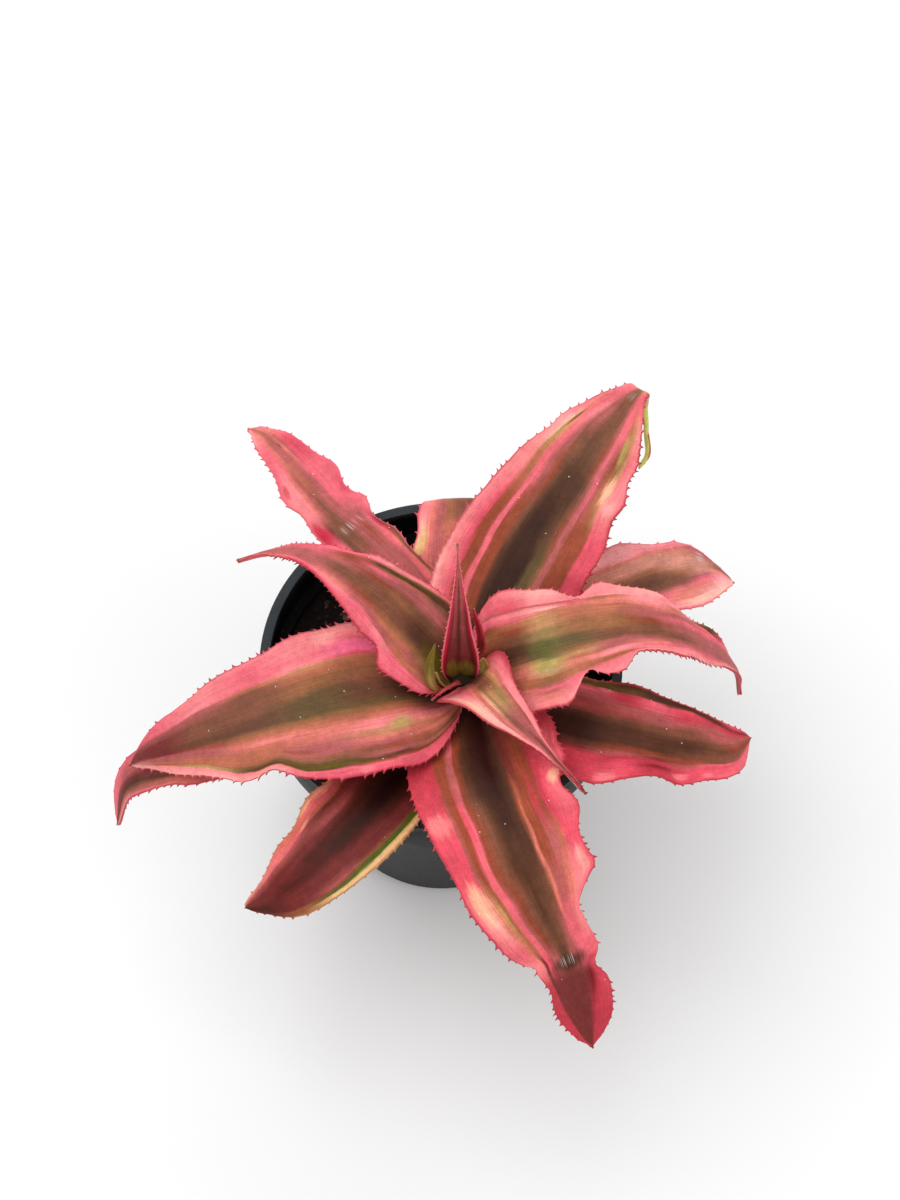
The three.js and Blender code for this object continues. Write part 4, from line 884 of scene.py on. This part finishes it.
def make_pot_finish():
    """Satin black moulded plastic, dusty, and paler on the lip: a painted highlight."""
    f = Finish("nursery_pot")
    grain = f.noise(2600.0, 3.0)
    cloud = f.noise(120.0, 4.0, 0.6)
    # painted highlight: above about 55.5 mm the lip takes the paler lip colour, standing in for the sheen the
    # light puts on it
    painted_lip_highlight = f.smooth(f.total(f.axis(f.place, 2), f.sway(cloud, 0.003)), 0.0555, 0.0582)
    wall = f.ramp(cloud, [(0.3, (0.004, 0.0046, 0.005)), (0.75, (0.009, 0.01, 0.011))])
    lip = f.ramp(grain, [(0.3, (0.026, 0.031, 0.034)), (0.75, (0.045, 0.052, 0.056))])
    dust = f.smooth(f.noise(900.0, 4.0, 0.7), 0.6, 0.75)
    tint = f.blend(f.product(dust, 0.16), f.blend(painted_lip_highlight, wall, lip), (0.22, 0.17, 0.13, 1))
    gloss = f.total(f.product(grain, 0.25), 0.4)
    f.set(Base_Color=tint, Roughness=gloss, Specular_IOR_Level=0.14, Normal=f.bump(grain, 0.25, 0.00008))
    return f.material


def make_mix_finish():
    """Damp peat, almost black, with brown specks."""
    f = Finish("potting_mix")
    crumb = f.noise(700.0, 6.0, 0.7)
    speck = f.smooth(f.noise(420.0, 5.0, 0.75), 0.6, 0.72)
    peat = f.ramp(crumb, [(0.35, (0.004, 0.003, 0.0025)), (0.62, (0.014, 0.009, 0.007)),
                          (0.8, (0.04, 0.024, 0.016))])
    tint = f.blend(f.product(speck, 0.5), peat, (0.09, 0.045, 0.025, 1))
    f.set(Base_Color=tint, Roughness=0.9, Specular_IOR_Level=0.15, Normal=f.bump(crumb, 0.8, 0.0006))
    return f.material


def make_bark_finish():
    """Brown bark crumbs, each a little lighter or darker by its place."""
    f = Finish("bark_crumb")
    patch = f.noise(330.0, 1.0)
    fibre = f.noise(2400.0, 4.0, 0.7)
    bark = f.ramp(patch, [(0.35, (0.012, 0.007, 0.005)), (0.5, (0.035, 0.018, 0.011)),
                          (0.66, (0.13, 0.06, 0.032))])
    tint = f.shaded(bark, fibre, (0.5, 0.5, 0.5), (1.3, 1.25, 1.2), 0.8)
    f.set(Base_Color=tint, Roughness=0.8, Normal=f.bump(fibre, 0.6, 0.0003))
    return f.material


def make_crown_finish():
    """The dull green stem under the leaf feet."""
    f = Finish("crown_stem")
    cloud = f.noise(600.0, 4.0)
    height = f.smooth(f.total(f.axis(f.place, 2), f.product(cloud, 0.003)), 0.052, 0.067)
    tint = f.ramp(height, [(0.0, (0.02, 0.012, 0.007)), (0.5, (0.025, 0.015, 0.006)),
                           (1.0, (0.03, 0.02, 0.006))])
    f.set(Base_Color=tint, Roughness=0.6, Specular_IOR_Level=0.1, Normal=f.bump(cloud, 0.5, 0.0003))
    return f.material


under_finish = make_under_finish()
pot_finish = make_pot_finish()
mix_finish = make_mix_finish()
bark_finish = make_bark_finish()
crown_finish = make_crown_finish()


def settle(piece, node):
    """The piece rides on the plant's one body and stands in for the CAD node, which is hidden."""
    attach(piece, "root")
    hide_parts(node)


for seed, (name, leaf) in enumerate(LEAVES.items()):
    settle(make_leaf(name, leaf, seed), name)


def join(pieces):
    """The pieces joined into the first of them."""
    for piece in pieces:
        piece.select_set(True)
    bpy.context.view_layer.objects.active = pieces[0]
    bpy.ops.object.join()
    bpy.ops.object.select_all(action="DESELECT")
    return pieces[0]


bracts = join([make_leaf(name, leaf, BRACT_SEED + seed) for seed, (name, leaf) in enumerate(BRACTS.items())])
bracts.name = "heart_bracts"
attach(bracts, "root")


# ---------------------------------------------------------------- pot

def wall_radius(height):
    """The pot's inner radius at a height on its tapered wall."""
    top = POT_HEIGHT - COLLAR_HEIGHT
    share = (height - FOOT_ROUND) / (top - FOOT_ROUND)
    return FOOT_RADIUS + share * (LIP_RADIUS - COLLAR_DRAFT - COLLAR_STEP - FOOT_RADIUS) - WALL


def put_in_order(parts, key):
    """Puts a mesh's vertices, edges or faces in an order that is the same each run."""
    rank = {part: number for number, part in enumerate(sorted(parts, key=key))}
    parts.sort(key=rank.get)
    parts.index_update()


def turned(name, profile, steps):
    """A closed turned solid from (radius, height) pairs in mm that start and end on the axis."""
    bpy.ops.mesh.primitive_circle_add(vertices=3, radius=MM)
    piece = bpy.context.object
    piece.name = name
    mesh = bmesh.new()
    line = [mesh.verts.new((radius * MM, 0, height * MM)) for radius, height in profile]
    edges = [mesh.edges.new(pair) for pair in zip(line, line[1:])]
    bmesh.ops.spin(mesh, geom=line + edges, cent=(0, 0, 0), axis=(0, 0, 1), angle=2 * math.pi, steps=steps)
    bmesh.ops.remove_doubles(mesh, verts=mesh.verts, dist=1e-6)
    bmesh.ops.recalc_face_normals(mesh, faces=mesh.faces)
    put_in_order(mesh.verts, lambda vertex: tuple(vertex.co))
    for parts in (mesh.edges, mesh.faces):
        put_in_order(parts, lambda part: sorted(vertex.index for vertex in part.verts))
    mesh.to_mesh(piece.data)
    mesh.free()
    return piece


def make_slot_cutter():
    """A round-ended block along x that cuts a drain slot."""
    bpy.ops.mesh.primitive_cylinder_add(vertices=24, radius=SLOT_WIDTH / 2 * MM, depth=4 * WALL * MM)
    cutter = bpy.context.object
    for vertex in cutter.data.vertices:
        vertex.co.x += math.copysign((SLOT_LENGTH - SLOT_WIDTH) / 2 * MM, vertex.co.x)
    return cutter


def make_pot():
    """The pot, turned from its profile, with a ring of drain slots and rounded edges."""
    collar_foot = POT_HEIGHT - COLLAR_HEIGHT
    collar = LIP_RADIUS - COLLAR_DRAFT
    lip_in = LIP_RADIUS - LIP_WIDTH
    inner_foot = wall_radius(WALL + FOOT_ROUND)
    piece = turned("nursery_pot", [
        (0, 0),
        (FOOT_RADIUS - FOOT_ROUND, 0),
        (FOOT_RADIUS - FOOT_CHAMFER, FOOT_CHAMFER),
        (FOOT_RADIUS, FOOT_ROUND),
        (collar - COLLAR_STEP, collar_foot),
        (collar, collar_foot),
        (LIP_RADIUS, POT_HEIGHT),
        (lip_in, POT_HEIGHT),
        (lip_in, POT_HEIGHT - LIP_DEPTH),
        (collar - WALL, collar_foot + WALL),
        (collar - COLLAR_STEP - WALL, collar_foot),
        (inner_foot, WALL + FOOT_ROUND),
        (inner_foot - FOOT_ROUND, WALL),
        (0, WALL),
    ], POT_STEPS)
    cutter = make_slot_cutter()
    bpy.ops.object.select_all(action="DESELECT")
    bpy.context.view_layer.objects.active = piece
    for slot in range(SLOT_COUNT):
        turn = slot * 2 * math.pi / SLOT_COUNT
        cutter.location = Vector((math.cos(turn), math.sin(turn), 0)) * SLOT_RADIUS * MM
        cutter.rotation_euler = (0, 0, turn)
        cut = piece.modifiers.new("slot", "BOOLEAN")
        cut.object = cutter
        cut.solver = "EXACT"
        bpy.context.view_layer.update()
        bpy.ops.object.modifier_apply(modifier="slot")
    bpy.data.objects.remove(cutter)
    bevel = piece.modifiers.new("edges", "BEVEL")
    bevel.width = EDGE_ROUND * MM
    bevel.segments = 3
    bevel.limit_method = "ANGLE"
    bevel.angle_limit = math.radians(35)
    piece.select_set(True)
    bpy.ops.object.modifier_apply(modifier="edges")
    bpy.ops.object.shade_smooth_by_angle(angle=math.radians(40))
    piece.data.materials.append(pot_finish)
    bpy.ops.object.select_all(action="DESELECT")
    return piece


settle(make_pot(), "pot")


# ---------------------------------------------------------------- potting mix

def mix_height(x, y):
    """The height of the potting mix's crumbly top, in mm."""
    return with_lumps(Vector((x, y, 0)), SOIL_TOP, SOIL_LUMPS)


def make_crumb_pattern():
    """The bark crumb that all the others are copied from, one unit in radius."""
    bpy.ops.mesh.primitive_ico_sphere_add(subdivisions=1, radius=1)
    pattern = bpy.context.object
    pattern.data.materials.append(mix_finish)
    pattern.data.materials.append(bark_finish)
    for face in pattern.data.polygons:
        face.material_index = 1
    return pattern


def scatter_crumbs(spread):
    """Bark crumbs strewn over the mix within a radius, each of its own size, turn and shape."""
    pattern = make_crumb_pattern()
    scatter = random.Random(5)
    crumbs = []
    for _ in range(CRUMB_COUNT):
        far, turn = spread * math.sqrt(scatter.random()), scatter.uniform(0, 2 * math.pi)
        x, y = far * math.cos(turn), far * math.sin(turn)
        size = scatter.uniform(*CRUMB_SIZES) * (LARGE_CRUMB if scatter.random() < LARGE_SHARE else 1)
        crumb = pattern.copy()
        crumb.data = pattern.data.copy()
        bpy.context.collection.objects.link(crumb)
        long, flat = scatter.uniform(*CRUMB_LONG), scatter.uniform(*CRUMB_FLAT)
        crumb.scale = [size * MM * long, size * MM, size * MM * flat]
        crumb.rotation_euler = [scatter.uniform(*turns) for turns in CRUMB_TURNS]
        crumb.location = (x * MM, y * MM, (mix_height(x, y) + CRUMB_LIFT * size) * MM)
        for vertex in crumb.data.vertices:
            vertex.co *= scatter.uniform(*CRUMB_DENTS)
        crumbs.append(crumb)
    bpy.data.objects.remove(pattern)
    bpy.context.view_layer.update()
    return crumbs


def make_mix():
    """The plug of mix inside the pot, with its lumpy top and the crumbs on it."""
    bottom = WALL + SOIL_GAP
    foot = wall_radius(bottom + FOOT_ROUND) - FOOT_ROUND - SOIL_GAP
    top = wall_radius(SOIL_TOP) - SOIL_TOP_GAP
    side = [(0, bottom), (foot, bottom), (foot + FOOT_ROUND, bottom + FOOT_ROUND)]
    rings = [(top * (1 - k / SOIL_RINGS), SOIL_TOP) for k in range(SOIL_RINGS)]
    piece = turned("potting_mix_top", side + rings + [(0, SOIL_TOP)], SOIL_STEPS)
    for vertex in piece.data.vertices:
        x, y, z = vertex.co / MM
        if z > SOIL_TOP - 1e-3:
            vertex.co.z = mix_height(x, y) * MM
    piece.data.materials.append(mix_finish)
    piece.data.materials.append(bark_finish)
    bpy.ops.object.shade_smooth()
    crumbs = scatter_crumbs(top - CRUMB_MARGIN)
    bpy.ops.object.select_all(action="DESELECT")
    return join([piece, *crumbs])


settle(make_mix(), "potting_mix")

# ---------------------------------------------------------------- crown

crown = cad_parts["crown"].data.materials
crown.clear()
crown.append(crown_finish)

# ---------------------------------------------------------------- floor, lights and camera

FLOOR_SIZE = 6
AIM = (0, 0, 0.055)
CAMERA_PLACE, CAMERA_DIP, CAMERA_LENS = (0.00164, -0.1841, 0.4355), 62.51, 69.3

bpy.ops.mesh.primitive_plane_add(size=FLOOR_SIZE, location=(0, 0, 0))
floor = bpy.context.object
floor.name = "floor"
paper = Finish("pale_floor")
paper.set(Base_Color=(0.95, 0.95, 0.95, 1), Roughness=0.9)
floor.data.materials.append(paper.material)


def add_light(name, place, size, power):
    """A soft square studio light that faces the plant."""
    light = bpy.data.lights.new(name, "AREA")
    light.energy = power
    light.size = size
    holder = bpy.data.objects.new(name, light)
    holder.location = place
    holder.rotation_euler = (Vector(AIM) - Vector(place)).to_track_quat("-Z", "Y").to_euler()
    bpy.context.scene.collection.objects.link(holder)


add_light("key", (-0.35, 0.1, 0.9), size=0.8, power=4.6)
add_light("fill", (0.7, -0.45, 0.6), size=0.7, power=1.6)
add_light("back", (0.1, 0.8, 0.6), size=0.6, power=1.6)

world = bpy.data.worlds.new("studio")
bpy.context.scene.world = world
world.use_nodes = True
sky = world.node_tree.nodes["Background"].inputs
sky["Color"].default_value = (1, 1, 1, 1)
sky["Strength"].default_value = 0.6

camera = bpy.data.cameras.new("camera")
camera.sensor_fit = "VERTICAL"
camera.sensor_height = 36
camera.lens = CAMERA_LENS
camera.clip_start = 0.01
eye = bpy.data.objects.new("camera", camera)
eye.location = CAMERA_PLACE
eye.rotation_euler = (math.radians(90 - CAMERA_DIP), 0, 0)
bpy.context.scene.collection.objects.link(eye)
bpy.context.scene.camera = eye
bpy.context.scene.view_settings.view_transform = "Standard"
